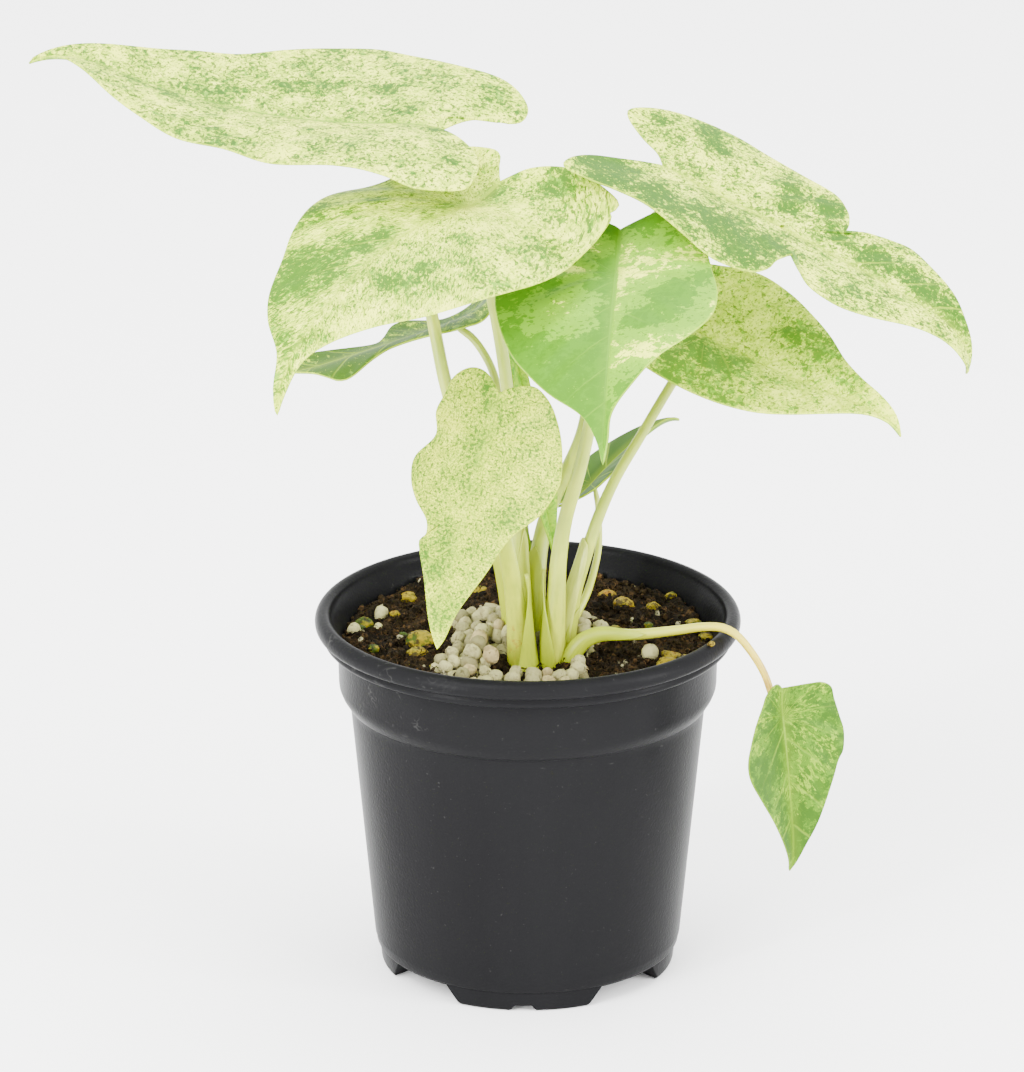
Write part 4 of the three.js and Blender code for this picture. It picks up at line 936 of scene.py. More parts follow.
def makeBlade(key, leaf, look):
    # Spokes run from the midrib to the outline, and rings cross them. The sheet is carried half its
    # thickness up and down along its normals, the underside further where the midrib and the side
    # veins stand out, and a rim joins the two.
    b = bladeBuild
    spokes, rings = look["spokes"], look["rings"]
    left = outlineSide(leaf, "left", spokes)
    right = outlineSide(leaf, "right", spokes) * [1, -1]
    starts = (spokeStarts(left) + spokeStarts(right)) / 2
    far = starts > b["spineStart"]
    ahead = int(far.sum())
    starts = np.where(far, starts + 0.05 * (1 - np.arange(spokes + 1) / spokes), 0)
    mirrored = lambda first, second: np.concatenate([first, second[-2:0:-1]])
    outline = mirrored(left, right)
    own = mirrored(spokeStarts(left), spokeStarts(right))
    shared = mirrored(starts, starts)
    step = mirrored(np.arange(spokes + 1), np.arange(spokes + 1))
    share = np.concatenate([np.linspace(0, b["lastRing"], rings + 1)[1:], b["edgeShares"]])[:, None]
    columns = len(outline)
    drift = 1 - (1 - share) ** 2
    reachU = shared + drift * (own - shared) + share * (outline[:, 0] - own)
    u = np.concatenate([[0], starts[:ahead], reachU.ravel()])
    v = np.concatenate([[0], np.zeros(ahead), (share * outline[:, 1]).ravel()])
    onSpine = 1 + ahead
    edgeward = np.concatenate([np.zeros(onSpine), np.repeat(share[:, 0], columns)])
    around = np.concatenate([[0], np.arange(ahead) / spokes, np.tile(step / spokes, len(share))])
    sheet = bladePoints(leaf, u, v, edgeward, around)

    top = gridFaces(len(share), columns, closed=True, start=onSpine, flip=True)
    spine = np.where(step < ahead, 1 + step, 0)
    ring = onSpine + np.arange(columns)
    inner = np.stack([spine, ring, np.roll(ring, -1), np.roll(spine, -1)], axis=-1)
    split = inner[:, 0] != inner[:, 3]
    upperFaces = [top, inner[split], inner[~split][:, :3]]
    normals = vertexNormals(sheet, upperFaces)
    count, reach = veinPlace(u, v)
    calm = ease(0, b["calmOut"], np.abs(v)) * (1 - ease(b["calmEdge"], 1, edgeward))
    sheet = sheet + normals * (b["quilt"] * calm * np.cos(2 * math.pi * (count - 0.5)))[:, None]
    thin = np.concatenate([np.ones(rings), b["edgeThickness"]])
    half = np.concatenate([np.ones(onSpine), np.repeat(thin, columns)]) * b["thickness"] / 2
    taper = np.clip(1 - u / leaf["length"], 0, 1) * ease(-leaf["notch"] - 1, -leaf["notch"] + 4, u)
    size = min(1, leaf["length"] / b["fullLength"])
    rib = size * b["ribHeight"] * (0.25 + 0.75 * taper) * ease(0, 0.25, 1 - edgeward)
    rib = rib * np.exp(-((v / (b["ribHalfWidth"] * size * (0.5 + 0.5 * taper))) ** 2))
    offVein = (count - 0.5) - np.round(count - 0.5)
    sideRib = b["sideRibHeight"] * calm * np.exp(-((offVein * b["sideRibSharpness"]) ** 2))
    upper = sheet + normals * half[:, None]
    lower = sheet - normals * (half + rib + sideRib)[:, None]
    total = len(sheet)
    last = onSpine + (len(share) - 1) * columns + np.arange(columns)
    beyond = np.roll(last, -1)
    rim = np.stack([last + total, beyond + total, beyond, last], axis=-1)
    faceSets = upperFaces + [faces[:, ::-1] + total for faces in upperFaces] + [rim]

    green = look["green"] + np.where(v > 0, look["halves"][0], look["halves"][1])
    for along, out, reachOut, amount in look["patches"]:
        near = np.exp(-(((u - along) ** 2 + (v - out) ** 2) / reachOut**2))
        room = 1 - 0.6 * np.clip(green, 0, 1) if amount > 0 else 1
        green = green + amount * near * room
    both = lambda values: np.concatenate([values, values])
    values = {
        "greenness": both(np.clip(green, -0.6, 1.2)),
        "edgeward": both(edgeward),
        "under": np.concatenate([np.zeros(total), np.ones(total)]),
    }
    shift = np.where(v < 0, b["halfShift"], 0.0)  # the two halves take different parts of the noise
    run = both(np.stack([count * b["veinSpacing"] / 10 + shift, reach / 10], axis=-1))
    plan = both(np.stack([u, v], axis=-1) / 10)
    maps = {"veinRun": halfAwareCorners(faceSets, run), "bladePlan": perCorner(faceSets, plan)}
    material = variegatedMaterial(key, look)
    piece = makePiece("blade_" + key, np.vstack([upper, lower]), faceSets, material, values, maps)
    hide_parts(f"leaf_{key}_blade")


# Stalks: tubes along each leaf's path, bent under the blade at the joint

stalkBuild = dict(
    sides=22, step=1.6, groove=0.1, grooveAngle=4.4, broad=0.22, sink=0.85, sinkReach=9,
    paleBelow=88, greenOver=100, yellowing=["drooping_side"],
    stained=["back_left", "front_left", "hanging_front"], stainHeight=90,
    pale=paint(176, 183, 42), green=paint(148, 162, 28), streak=paint(124, 144, 20),
    white=paint(194, 202, 44), stain=paint(150, 96, 30), yellow=paint(190, 168, 30), brown=paint(120, 72, 24),
)


def stalkRadiusAt(leaf, share):
    # From the radius at the foot to the one at the tip, by the rest of the way to a power
    footRadius, tipRadius = leaf["stalkRadius"]
    return tipRadius + (footRadius - tipRadius) * (1 - share) ** leaf["stalkTaper"]


def stalkFrame(leaf, count):
    # The path with its tangents, and two directions square to it: one towards the viewer, one aside
    path = smoothLine(leaf["stalk"] + [leaf["joint"]], count)
    tangent = np.gradient(path, axis=0)
    tangent /= np.linalg.norm(tangent, axis=1, keepdims=True)
    aside = np.cross(tangent, np.array([0, -1, 0.15]))
    aside /= np.linalg.norm(aside, axis=1, keepdims=True)
    return path, tangent, np.cross(aside, tangent), aside


def stalkMaterial():
    # Pale flesh with fine lengthwise streaks, whiter low down, with the few stains it has
    skin = Skin("stalkSkin")
    run, place = skin.map("stalkRun"), skin.place()
    yellowing, stain, high = (skin.attribute(kind) for kind in ("yellowing", "stain", "high"))
    streaks = skin.noise(skin.stretched(run, (1, 0.16, 1)), 9.0, 5.0, 0.65)
    cloud = skin.noise(place, 90.0, 3.0, 0.5)
    colour = skin.mixed(skin.rise(high, 0.0, 0.35), stalkBuild["pale"], stalkBuild["green"])
    colour = skin.over(colour, skin.rise(streaks, 0.42, 0.7), stalkBuild["streak"], 0.5)
    colour = skin.over(colour, skin.rise(cloud, 0.45, 0.7), stalkBuild["white"], 0.4)
    dead = skin.rise(skin.plus(yellowing, streaks), 1.1, 1.5)
    aged = skin.mixed(dead, stalkBuild["yellow"], stalkBuild["brown"])
    colour = skin.over(colour, skin.rise(yellowing, 0.05, 0.75), aged)
    spots = skin.plus(skin.noise(place, 500.0, 5.0, 0.7), skin.times(stain, 0.3))
    colour = skin.over(colour, skin.rise(spots, 0.66, 0.8), stalkBuild["stain"], stain)
    bump = skin.bump(skin.plus(streaks, skin.times(cloud, 0.5)), 0.3, 0.0004)
    flesh = {"Subsurface Weight": 0.35, "Subsurface Radius": (0.0025, 0.002, 0.0008)}
    return skin.surface(colour, 0.42, bump, more=flesh)


def makeStalk(key, leaf, material):
    # The tube's middle sinks under the blade by most of its radius as it nears the joint, where the
    # radius shrinks. Its foot is broader aside, and a shallow groove runs along it.
    sides = stalkBuild["sides"]
    long = sum(math.dist(a, b) for a, b in zip(leaf["stalk"], leaf["stalk"][1:] + [leaf["joint"]]))
    count = int(long / stalkBuild["step"])
    path, tangent, front, aside = stalkFrame(leaf, count)
    share = np.linspace(0, 1, count + 1)
    radius = stalkRadiusAt(leaf, share)
    joint = bladePoints(leaf, np.array([0.0, 1, 0]), np.array([0.0, 0, 1]), np.zeros(3), np.zeros(3))
    below = np.cross(joint[2] - joint[0], joint[1] - joint[0])
    below /= np.linalg.norm(below)
    fromJoint = (1 - share) * long
    nearJoint = 1 - ease(0, stalkBuild["sinkReach"], fromJoint)
    path = path + below * (radius * nearJoint * stalkBuild["sink"])[:, None]
    radius = radius * (0.55 + 0.45 * ease(-0.5, 3, fromJoint))
    angle = evenAngles(sides)
    deep = stalkBuild["groove"] * np.exp(-(((angle - stalkBuild["grooveAngle"]) / 0.35) ** 2))
    broad = 1 + stalkBuild["broad"] * (1 - ease(0.05, 0.4, share))[:, None]
    out = radius[:, None] * (1 - deep * ease(0.2, 0.5, share)[:, None])
    points = pathPoints(path, front, aside, out, broad, angle).reshape(-1, 3)
    points = np.vstack([points, path[:1], path[-1:] + tangent[-1:] * radius[-1] * 0.4])
    faceSets = closedFaces(count + 1, sides)
    perRow = lambda rowValues: np.concatenate([np.repeat(rowValues, sides), rowValues[[0, -1]]])
    height = path[:, 2]
    stained = np.exp(-(((height - stalkBuild["stainHeight"]) / 8) ** 2))
    values = {
        "high": perRow(np.clip((height - stalkBuild["paleBelow"]) / stalkBuild["greenOver"], 0, 1)),
        "yellowing": perRow(ease(6, 95, long * share) * 0.95 * (key in stalkBuild["yellowing"])),
        "stain": perRow(0.55 * stained * (key in stalkBuild["stained"])),
    }
    across = np.concatenate([np.tile(angle, count + 1), [0, 0]]) * 0.25
    run = np.stack([across, perRow(long * share / 10)], axis=-1)
    maps = {"stalkRun": perCorner(faceSets, run)}
    piece = makePiece("stalk_" + key, points, faceSets, material, values, maps)
    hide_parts(f"leaf_{key}_stalk")


# Sheaths: thin skins wrapped round a stalk, open at one side, that narrow to a tip. "facing" is in
# degrees, 90 towards the viewer and 0 to the side, and "wrap" is half the angle that a sheath wraps.

sheaths = {
    # piece: stalk, share of its path at the foot and at the tip, facing, wrap, lift from the stalk,
    # share of the lift at the foot, roundness, tone
    "sheathLeftStem": ("hanging_front", 0.02, 0.42, 8, 100, 1.7, 2.4, 1.1, 0.33),
    "sheathFrontStem": ("front_centre", 0.05, 0.3, 178, 105, 1.5, 0.4, 1.0, 0.33),
    "sheathLime": ("young", 0.12, 0.52, 80, 120, 0.5, 0.4, 1.0, 0.8),
    "sheathWhite": ("right", 0.12, 0.42, 150, 85, 0.6, 0.4, 3.0, 0.05),
    "sheathTorn": ("right", 0.08, 0.24, 20, 80, 0.45, 0.4, 2.0, 0.25),
    "sheathSide": ("drooping_side", 0.08, 0.42, 100, 90, 0.3, 0.4, 1.4, 0.4),
    "sheathBackLeft": ("back_left", 0.08, 0.34, 110, 120, 0.9, 0.4, 1.3, 0.3),
    "sheathFrontLeft": ("front_left", 0.08, 0.34, 40, 100, 0.35, 0.4, 1.3, 0.3),
    "sheathBackRight": ("back_right", 0.08, 0.26, 120, 100, 0.6, 0.4, 1.5, 0.35),
}
sheathBuild = dict(
    rows=26, columns=17, stations=200, thickness=0.28, broad=1.06, white=paint(206, 212, 96),
    pale=paint(178, 190, 26), lime=paint(130, 166, 2), rib=paint(146, 166, 16),
)


def sheathMaterial():
    # Papery skin, from clear white to lime by each sheath's tone, with fine ribs along it
    skin = Skin("sheathSkin")
    tone, tipward = skin.attribute("tone"), skin.attribute("tipward")
    streaks = skin.noise(skin.stretched(skin.map("sheathRun"), (1, 0.12, 1)), 14.0)
    colour = skin.mixed(skin.rise(tone, 0.0, 0.35), sheathBuild["white"], sheathBuild["pale"])
    colour = skin.over(colour, skin.rise(tone, 0.5, 0.9), sheathBuild["lime"])
    colour = skin.over(colour, skin.rise(streaks, 0.45, 0.7), sheathBuild["rib"], 0.35)
    colour = skin.over(colour, skin.rise(tipward, 0.8, 1.0), sheathBuild["white"], 0.25)
    return skin.surface(colour, 0.38, skin.bump(streaks, 0.35, 0.0003), glow=0.35)


def makeSheath(name, sheath, material):
    # The stalk's path between two shares, carried outwards by the stalk's radius and a lift, over
    # an angle that shrinks to nothing at the tip
    key, first, last, facing, wrapped, lifted, footLift, roundness, tone = sheath
    leaf = leaves[key]
    stations = sheathBuild["stations"]
    path, _, front, aside = stalkFrame(leaf, stations)
    part = np.linspace(0, 1, sheathBuild["rows"])
    share = first + (last - first) * part
    at = share * stations
    whole = np.arange(stations + 1)
    pick = lambda rows: np.stack([np.interp(at, whole, rows[:, k]) for k in range(3)], axis=1)
    wrap = math.radians(wrapped) * np.maximum(1 - part ** (1.5 * roundness), 0) ** (1 / roundness)
    across = np.linspace(-1, 1, sheathBuild["columns"])
    angle = math.radians(facing) + np.maximum(wrap, 0.02)[:, None] * across
    lift = lifted * (footLift + (1 - footLift) * ease(0, 0.4, part)[:, None]) * (0.55 + 0.45 * across**2)
    radius = stalkRadiusAt(leaf, share)[:, None] + lift
    grid = pathPoints(pick(path), pick(front), pick(aside), radius, sheathBuild["broad"], angle)
    rows, columns = angle.shape
    points = grid.reshape(-1, 3)
    faces = gridFaces(rows, columns)
    run = np.stack([(angle * radius / 10).ravel(), np.repeat(share * 10, columns)], axis=-1)
    values = {"tone": np.full(len(points), tone), "tipward": np.repeat(part, columns)}
    piece = makePiece(name, points, [faces], material, values, {"sheathRun": perCorner([faces], run)})
    wall = piece.modifiers.new("wall", "SOLIDIFY")
    wall.thickness = sheathBuild["thickness"] * mm
    wall.offset = 0
    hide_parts(f"leaf_{key}_stalk")


stalkSkin = stalkMaterial()
sheathSkin = sheathMaterial()
for key, leaf in leaves.items():
    makeBlade(key, leaf, {**plainLook, **looks[key]})
    makeStalk(key, leaf, stalkSkin)
for name, sheath in sheaths.items():
    makeSheath(name, sheath, sheathSkin)
print("leaves made")

# Soil: a body down to the pot's floor with a crumbly surface, loose crumbs and fibres

soil = dict(
    level=83.9, slope=0.045, radius=45.3, rings=130, columns=330, edgeGap=0.7, seed=5,
    crumbs=2600, crumbReach=45.5, crumbSize=0.35, crumbGrowth=0.9, paleShare=0.035,
    fibres=900, fibreStations=7, fibreReach=44, fibreLimit=45, fibreLength=(2, 9), fibreRadius=(0.06, 0.2),
    wall=[(36, 7.5), (36.4, 8.1), (42.4, 67), (45.2, 73.4), (45.4, 83.5)],  # radius and height
    dark=paint(20, 16, 8), brown=paint(42, 33, 18), warm=paint(92, 68, 40), pale=paint(150, 144, 112),
)


def crumbled(x, y):
    # A slope up towards the back with low mounds on it, clods of several sizes on top with the
    # hollows between them kept deeper, and a dish before the stalks' feet
    flat = np.stack([x, y], axis=-1).reshape(-1, 2)
    mound = 0.7 * np.sin(0.31 * x + 1.2) * np.cos(0.27 * y) + 0.4 * np.sin(0.7 * x - 0.5 * y)
    clods = 0.95 * roughNoise(flat, 6.5, 4, 2) - 0.5 * np.abs(roughNoise(flat, 3.0, 3, 5))
    height = clods + 0.3 * roughNoise(flat, 1.5, 3, 8)
    dish = 1.8 * np.exp(-(((x - 1) / 11) ** 2) - ((y + 18) / 8) ** 2)
    return soil["level"] + soil["slope"] * y + mound + height.reshape(np.shape(x)) - dish


def soilMaterial():
    # Peat: near-black crumbs with browner and redder ones, and a few fibres and pale grains
    skin = Skin("peat")
    place, tone = skin.place(), skin.attribute("tone")
    cells = skin.node("TexVoronoi", {"Vector": place, "Scale": 750.0, "Randomness": 1.0})
    patches = skin.noise(place, 160.0, 5.0, 0.7)
    fine = skin.noise(place, 1300.0, 5.0, 0.7)
    brown = skin.rise(skin.plus(skin.times(patches, 0.7), tone), 0.35, 0.75)
    colour = skin.mixed(brown, soil["dark"], soil["brown"])
    grey = skin.node("SeparateColor", {0: cells["Color"]})[0]
    warm = skin.times(skin.rise(grey, 0.72, 0.95), skin.plus(0.25, tone))
    colour = skin.over(colour, warm, soil["warm"], 0.7)
    colour = skin.over(colour, skin.rise(tone, 0.88, 0.95), soil["pale"])
    colour = skin.mixed(skin.rise(fine, 0.35, 0.6), dimmed(soil["dark"], 0.35), colour)
    return skin.surface(colour, 0.93, skin.bump(skin.plus(fine, cells["Distance"]), 0.9, 0.0005), 0.06)


def icosahedron():
    # The twelve corners and twenty faces of a ball of triangles
    golden = (1 + 5**0.5) / 2
    corners = []
    for a in (-1, 1):
        for b in (-golden, golden):
            corners += [(0, a, b), (a, b, 0), (b, 0, a)]
    corners = np.array(corners, float) / np.hypot(1, golden)
    gaps = np.linalg.norm(corners[:, None] - corners[None], axis=-1)
    near = np.isclose(gaps, gaps[gaps > 0.1].min(), rtol=0.01)
    faces = []
    for i, j, k in itertools.combinations(range(12), 3):
        if near[i, j] and near[j, k] and near[i, k]:
            normal = np.cross(corners[j] - corners[i], corners[k] - corners[i])
            faces.append((i, j, k) if normal @ corners[i] > 0 else (i, k, j))
    return corners, np.array(faces)


def roundBall():
    # The same ball with each edge halved: 42 corners and 80 faces
    corners, faces = icosahedron()
    edges = np.sort(np.concatenate([faces[:, [0, 1]], faces[:, [1, 2]], faces[:, [2, 0]]]), axis=1)
    single, which = np.unique(edges, axis=0, return_inverse=True)
    halves = corners[single].mean(axis=1)
    halves /= np.linalg.norm(halves, axis=1, keepdims=True)
    ab, bc, ca = 12 + which.reshape(3, -1)
    a, b, c = faces.T
    split = [(a, ab, ca), (b, bc, ab), (c, ca, bc), (ab, bc, ca)]
    return np.vstack([corners, halves]), np.concatenate([np.stack(s, axis=1) for s in split])


def turns(angles):
    # A turning matrix for each row of three angles, about X, then Y, then Z
    cx, cy, cz = np.cos(angles).T
    sx, sy, sz = np.sin(angles).T
    rows = [
        cy * cz, sx * sy * cz - cx * sz, cx * sy * cz + sx * sz,
        cy * sz, sx * sy * sz + cx * cz, cx * sy * sz - sx * cz,
        -sy, sx * cy, cx * cy,
    ]
    return np.stack(rows, axis=1).reshape(-1, 3, 3)


def repeated(faces, count, size):
    # The same faces for each of so many copies of a shape with so many points
    shift = (np.arange(count) * size)[:, None, None]
    return (faces[None] + shift).reshape(-1, faces.shape[1])


def scattered(balls, faces, places, sizes, angles):
    # One stretched and turned ball at each place, all in one mesh
    points = np.einsum("nij,npj->npi", turns(angles), balls * sizes[:, None, :]) + places[:, None, :]
    return points.reshape(-1, 3), repeated(faces, len(places), balls.shape[1])


def makeBed(material):
    # The wall up from the pot's floor, then rings of crumbled surface that close in on the axis
    angle = evenAngles(soil["columns"])
    radius = soil["radius"] * np.linspace(1, 0, soil["rings"], endpoint=False) ** 0.85
    x = radius[:, None] * np.cos(angle)
    y = radius[:, None] * np.sin(angle)
    top = np.stack([x, y, crumbled(x, y)], axis=-1)
    wall = ringPoints(np.array(soil["wall"]), angle)
    wall[-1, :, 2] = top[0, :, 2] - soil["edgeGap"]
    grid = np.concatenate([wall, top])
    poles = [[0, 0, soil["wall"][0][1]], [0, 0, crumbled(0.0, 0.0)]]
    points = np.vstack([grid.reshape(-1, 3), poles])
    tone = 0.25 + 0.35 * roughNoise(points[:, :2], 12, 3, 4)
    faces = closedFaces(len(grid), soil["columns"])
    return makePiece("soilBed", points, faces, material, {"tone": np.clip(tone, 0, 0.8)})


def makeCrumbs(material):
    # Dented balls strewn evenly over the bed, most of them small
    random = np.random.default_rng(soil["seed"])
    count = soil["crumbs"]
    spot = random.uniform(0, 2 * math.pi, count)
    reach = soil["crumbReach"] * np.sqrt(random.uniform(0, 1, count))
    size = soil["crumbSize"] + soil["crumbGrowth"] * random.uniform(0, 1, count) ** 3
    x, y = reach * np.cos(spot), reach * np.sin(spot)
    places = np.stack([x, y, crumbled(x, y) + 0.35 * size], axis=-1)
    sizes = size[:, None] * random.uniform(0.6, 1.25, (count, 3))
    ball, ballFaces = icosahedron()
    points, faces = scattered(ball[None], ballFaces, places, sizes, random.uniform(0, 6.3, (count, 3)))
    points = points + 0.12 * np.stack([softNoise(points, 0.8, k) for k in (1, 2, 3)], axis=-1)
    tone = random.uniform(0, 0.8, count)
    tone[random.uniform(0, 1, count) > 1 - soil["paleShare"]] = 1
    values = {"tone": np.repeat(tone, len(ball))}
    return makePiece("soilCrumbs", points, [faces], material, values, smooth=False)


def makeFibres(material):
    # Thin bent threads of peat lying on the crumbs: three-sided tubes with pointed ends
    random = np.random.default_rng(soil["seed"] + 1)
    count, stations = soil["fibres"], soil["fibreStations"]
    reach = soil["fibreReach"] * np.sqrt(random.uniform(0, 1, count))
    spot = random.uniform(0, 2 * math.pi, count)
    heading = random.uniform(0, 2 * math.pi, count)
    length = random.uniform(*soil["fibreLength"], count)
    bend = random.uniform(-1.6, 1.6, count)
    part = np.linspace(-0.5, 0.5, stations)
    bearing = heading[:, None] + bend[:, None] * part
    x = (reach * np.cos(spot))[:, None] + length[:, None] * part * np.cos(bearing)
    y = (reach * np.sin(spot))[:, None] + length[:, None] * part * np.sin(bearing)
    shrink = np.minimum(1, soil["fibreLimit"] / np.maximum(np.hypot(x, y), 1e-6))
    x, y = x * shrink, y * shrink
    z = crumbled(x, y) + (0.25 + random.uniform(0, 1.3, count)[:, None] * (1 - (2 * part) ** 2))
    thick = random.uniform(*soil["fibreRadius"], count)[:, None] * (1.05 - np.abs(2 * part))
    around = evenAngles(3)
    side = np.cos(around) * thick[..., None]
    px = x[..., None] - np.sin(bearing)[..., None] * side
    py = y[..., None] + np.cos(bearing)[..., None] * side
    pz = z[..., None] + np.sin(around) * thick[..., None]
    points = np.stack([px, py, pz], axis=-1).reshape(-1, 3)
    each = stations * 3
    ends = np.array([[2, 1, 0], [each - 3, each - 2, each - 1]])
    faceSets = [repeated(faces, count, each) for faces in (gridFaces(stations, 3, closed=True), ends)]
    tone = np.repeat(random.uniform(0.2, 0.85, count), each)
    return makePiece("soilFibres", points, faceSets, material, {"tone": tone})


peat = soilMaterial()
for piece in (makeBed(peat), makeCrumbs(peat), makeFibres(peat)):
    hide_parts("soil")
print("soil made")

# Lumps of weathered fertiliser, and the crumb on the rim: x, y, half size, tone from green to orange

lumpBits = dict(
    places=[
        (-40.5, 12, 2.0, 0.25), (-42, 7, 2.2, 0.1), (-26.5, -1, 3.1, 0.5), (-27, -9, 2.1, 0.65),
        (-35.5, -19.5, 1.9, 0.3), (-22.5, -15, 1.8, 0.5), (20, 28.5, 2, 0.9), (24, 21.5, 2.5, 0.85),
        (31.5, 23, 1.8, 0.75), (22, 7, 2.3, 0.4), (41.5, 10.5, 2.4, 0.45), (35, -9.5, 2.3, 0.75),
        (34, -17.5, 2.5, 0.7), (39, -13, 2.1, 0.55), (13.5, -23, 1.6, 0.35), (-31, 4, 1.2, 0.2),
        (-38, -6, 1.3, 0.3), (-30, -24, 1.4, 0.6), (28, -24, 1.3, 0.1), (8, 27, 1.5, 0.8),
        (44, 2, 1.6, 0.5), (36, 27, 1.4, 0.6), (-12, 34, 1.7, 0.5), (-30, 28, 1.9, 0.7), (3, 40, 1.8, 0.6),
        (-33, 14, 1.1, 0.9), (30, 8, 1.2, 0.3),
    ],
    rimCrumb=(44.4, -25.6, 0.8, 0.9), rimSeed=3, rimLift=0.35, lift=0.15, swell=0.2, stretch=(1.15, 1, 0.8),
    rows=21, columns=32, seed=21,
    green=paint(46, 64, 6), yellow=paint(124, 108, 10), orange=paint(116, 80, 8), bark=paint(26, 18, 8),
)


def lumpMaterial():
    # Weathered crust: green to orange by each lump's tone, with dark cracks
    skin = Skin("weatheredLump")
    place = skin.place()
    cloud = skin.noise(place, 420.0, 5.0, 0.65)
    tuned = skin.plus(skin.attribute("tone"), skin.times(skin.minus(cloud, 0.5), 2.0))
    colour = skin.mixed(skin.rise(tuned, 0.25, 0.65), lumpBits["green"], lumpBits["yellow"])
    colour = skin.over(colour, skin.rise(tuned, 0.8, 1.2), lumpBits["orange"])
    cracks = skin.rise(skin.noise(place, 520.0, 6.0, 0.75, 0.6), 0.5, 0.58)
    colour = skin.over(colour, cracks, lumpBits["bark"], 0.85)
    return skin.surface(colour, 0.7, skin.bump(cloud, 0.9, 0.001), 0.15)


def lumpShape(size, seed):
    # A ball whose radius swells and shrinks with layered noise, its poles closed by single points
    down = np.linspace(0, math.pi, lumpBits["rows"] + 2)[1:-1]
    section = np.column_stack([np.sin(down), np.cos(down)])
    rings = ringPoints(section, evenAngles(lumpBits["columns"])).reshape(-1, 3)
    points = np.vstack([rings, [[0, 0, 1], [0, 0, -1]]])
    radius = 1 + lumpBits["swell"] * roughNoise(points, 0.8, 4, seed)
    return points * radius[:, None] * size * np.array(lumpBits["stretch"])


def makeLumps():
    # Each lump is sunk into the crumbled soil, and the last one lies on the pot's rim
    lumps = []
    for number, (x, y, size, _) in enumerate(lumpBits["places"]):
        middle = [x, y, crumbled(x, y) + lumpBits["lift"] * size]
        lumps.append(lumpShape(size, lumpBits["seed"] + 1.7 * number) + middle)
    x, y, size, _ = lumpBits["rimCrumb"]
    lumps.append(lumpShape(size, lumpBits["rimSeed"]) + [x, y, pot["height"] + lumpBits["rimLift"]])
    sides, *caps = closedFaces(lumpBits["rows"], lumpBits["columns"], flip=True)
    each = len(lumps[0])
    faceSets = [repeated(faces, len(lumps), each) for faces in (sides, np.concatenate(caps))]
    tones = [bit[3] for bit in [*lumpBits["places"], lumpBits["rimCrumb"]]]
    values = {"tone": np.repeat(tones, each)}
    piece = makePiece("fertiliserLumps", np.vstack(lumps), faceSets, lumpMaterial(), values)
    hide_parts("soil")


makeLumps()
print("lumps made")

# Clay granules: a heap round the stalks and a few single ones

bed = dict(
    x=-2, y=-7, top=84, heap=3.0, heapRadius=30, radius=1.95, tries=7000, seed=11,
    field=((-27, -37), (24, 24)), bare=((-9, 12), (-24.5, -8)), clearance=1.3, inward=0.07,
    sizes=(0.82, 1.16), stretch=(0.84, 1.14), dent=0.17, kinds=12,
    layers=[
        # lift, spacing, share of the outline, how near the middle it starts
        (-0.9, 3.1, 1.0, 0), (1.3, 3.3, 0.93, 0), (3.3, 4.0, 0.62, 0.35),
    ],
    outline=[
        (-25, -17.5), (-22, -26.5), (-13, -33), (0, -35.5), (10, -34.5), (14, -28.5), (15, -17.5),
        (17, -7), (22, 2), (20, 11.5), (10, 16), (0, 19.5), (-10, 22), (-19, 16), (-19, 2), (-20, -9.5),
    ],
    single=[(-36.5, 16, 2.1), (-43, 2, 1.9), (-33.5, -19.5, 1.7), (30, -12.5, 2.3), (-37, 9, 1.2)],
    # The last colour is dust on the granules, and also painted shade in their pits
    pale=paint(164, 159, 110), grey=paint(108, 104, 68), peach=paint(150, 124, 84), dustAndShade=paint(74, 60, 32),
)


def granuleMaterial():
    # Fired clay: grey-beige, each grain a little different, with patches of dust, pits darkened by dust and
    # painted shade, and a few peach ones
    skin = Skin("clayGranule")
    place, tone = skin.place(), skin.attribute("tone")
    cloud = skin.noise(place, 380.0, 5.0)
    fine = skin.noise(place, 1700.0)
    pits = skin.rise(skin.noise(place, 900.0, 3.0, 0.55), 0.62, 0.72)
    pale = skin.rise(skin.plus(skin.times(tone, 0.75), skin.times(cloud, 0.5)), 0.2, 0.95)
    colour = skin.mixed(pale, bed["grey"], bed["pale"])
    colour = skin.over(colour, skin.rise(tone, 0.86, 0.95), bed["peach"], 0.6)
    colour = skin.over(colour, skin.rise(cloud, 0.48, 0.68), bed["dustAndShade"], 0.5)
    # The pits are darkened with the dust colour: dust, and painted shade in the hollows
    colour = skin.over(colour, pits, bed["dustAndShade"], 0.45)
    bump = skin.bump(skin.minus(fine, skin.times(pits, 1.5)), 0.8, 0.0005)
    return skin.surface(colour, 0.85, bump, 0.2)


def insideOutline(x, y, outline):
    # A line from the point to the right crosses the outline an odd number of times
    inside = False
    for (ax, ay), (bx, by) in zip(outline, outline[1:] + outline[:1]):
        if (ay > y) != (by > y) and x < ax + (bx - ax) * (y - ay) / (by - ay):
            inside = not inside
    return inside


def stalkPlaces(height, steps=60):
    # Where each stalk's middle passes this height, with its radius
    found = []
    for leaf in leaves.values():
        path = smoothLine(leaf["stalk"] + [leaf["joint"]], steps)
        nearest = np.abs(path[:, 2] - height).argmin()
        found.append((*path[nearest, :2], stalkRadiusAt(leaf, nearest / steps)))
    return found


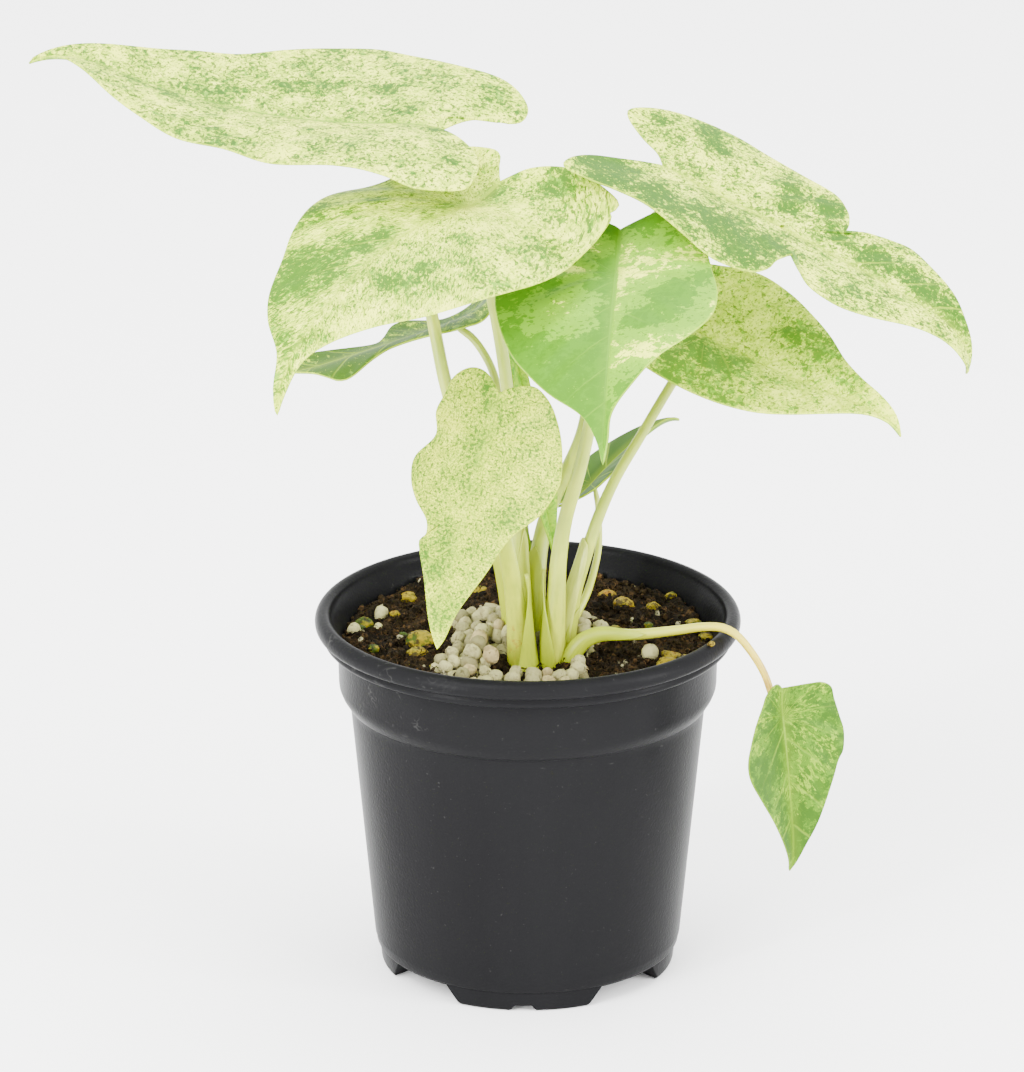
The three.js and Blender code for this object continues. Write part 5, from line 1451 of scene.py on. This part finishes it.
def grainPiece(name, node, material, places, radius, seed, tone):
    # Round balls, stretched a little and dented by noise that follows each grain's own directions
    random = np.random.default_rng(seed)
    count = len(places)
    ball, ballFaces = roundBall()
    sizes = radius[:, None] * random.uniform(*bed["stretch"], (count, 3))
    angles = random.uniform(0, 6.3, (count, 3))
    kinds = range(bed["kinds"])
    swell = np.stack([1 + bed["dent"] * roughNoise(ball, 0.6, 3, seed + 0.37 * kind) for kind in kinds])
    balls = ball[None] * swell[random.integers(0, bed["kinds"], count)][:, :, None]
    points, faces = scattered(balls, ballFaces, places, sizes, angles)
    piece = makePiece(name, points, [faces], material, {"tone": np.repeat(tone, len(ball))})
    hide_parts(node)


def makeGranules(clay):
    # Layer by layer, random places are kept where they lie inside the outline, clear of the stalks
    # and of the grains of their layer. The heap rises towards its middle.
    random = np.random.default_rng(bed["seed"])
    middle = np.array([bed["x"], bed["y"]]) * bed["inward"]
    outline = [tuple(np.array(spot) * (1 - bed["inward"]) + middle) for spot in bed["outline"]]
    (left, right), (front, back) = bed["bare"]  # the stalks' feet show here
    blocked = stalkPlaces(bed["top"] + 1)
    places = []
    for lift, spacing, inset, nearest in bed["layers"]:
        layerPlaces = []
        for x, y in random.uniform(*bed["field"], (bed["tries"], 2)):
            centred = ((x - bed["x"]) / inset + bed["x"], (y - bed["y"]) / inset + bed["y"])
            if not insideOutline(*centred, outline):
                continue
            if any(math.hypot(x - a, y - b) < r + bed["clearance"] for a, b, r in blocked):
                continue
            if left < x < right and front < y < back:
                continue
            near = max(0, 1 - math.hypot(x - bed["x"], y - bed["y"]) / bed["heapRadius"])
            if near < nearest:
                continue
            if all(math.hypot(x - a, y - b) > spacing for a, b, _ in layerPlaces):
                height = bed["top"] + soil["slope"] * y + lift + bed["heap"] * near * random.uniform(0, 0.55)
                layerPlaces.append((x, y, height))
        places += layerPlaces
    radius = bed["radius"] * random.uniform(*bed["sizes"], len(places))
    tone = random.uniform(0, 1, len(places))
    grainPiece("clayGranules", "granules", clay, np.array(places), radius, bed["seed"], tone)
    single = np.array(bed["single"])
    floor = crumbled(single[:, 0], single[:, 1])
    places = np.column_stack([single[:, :2], floor + 0.5 * single[:, 2]])
    tone = random.uniform(0.6, 0.85, len(single))
    grainPiece("looseGranules", "soil", clay, places, single[:, 2], bed["seed"] + 1, tone)
    print("granules made:", len(radius))


makeGranules(granuleMaterial())

# Corm: the swollen foot in the soil keeps its CAD shape and gets a barky skin

corm = dict(flesh=paint(170, 136, 92), scales=paint(96, 68, 44))


def cormMaterial():
    # Rings of dry scales, brown over paler flesh
    skin = Skin("cormBark")
    place = skin.place()
    scales = skin.noise(skin.stretched(place, (1, 1, 5)), 160.0, 5.0, 0.7)
    fine = skin.noise(place, 900.0)
    colour = skin.mixed(skin.rise(scales, 0.35, 0.65), corm["scales"], corm["flesh"])
    return skin.surface(colour, 0.85, skin.bump(skin.plus(scales, skin.times(fine, 0.4)), 0.8, 0.0008))


bark = cormMaterial()
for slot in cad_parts["corm"].material_slots:
    slot.material = bark
print("corm dressed")
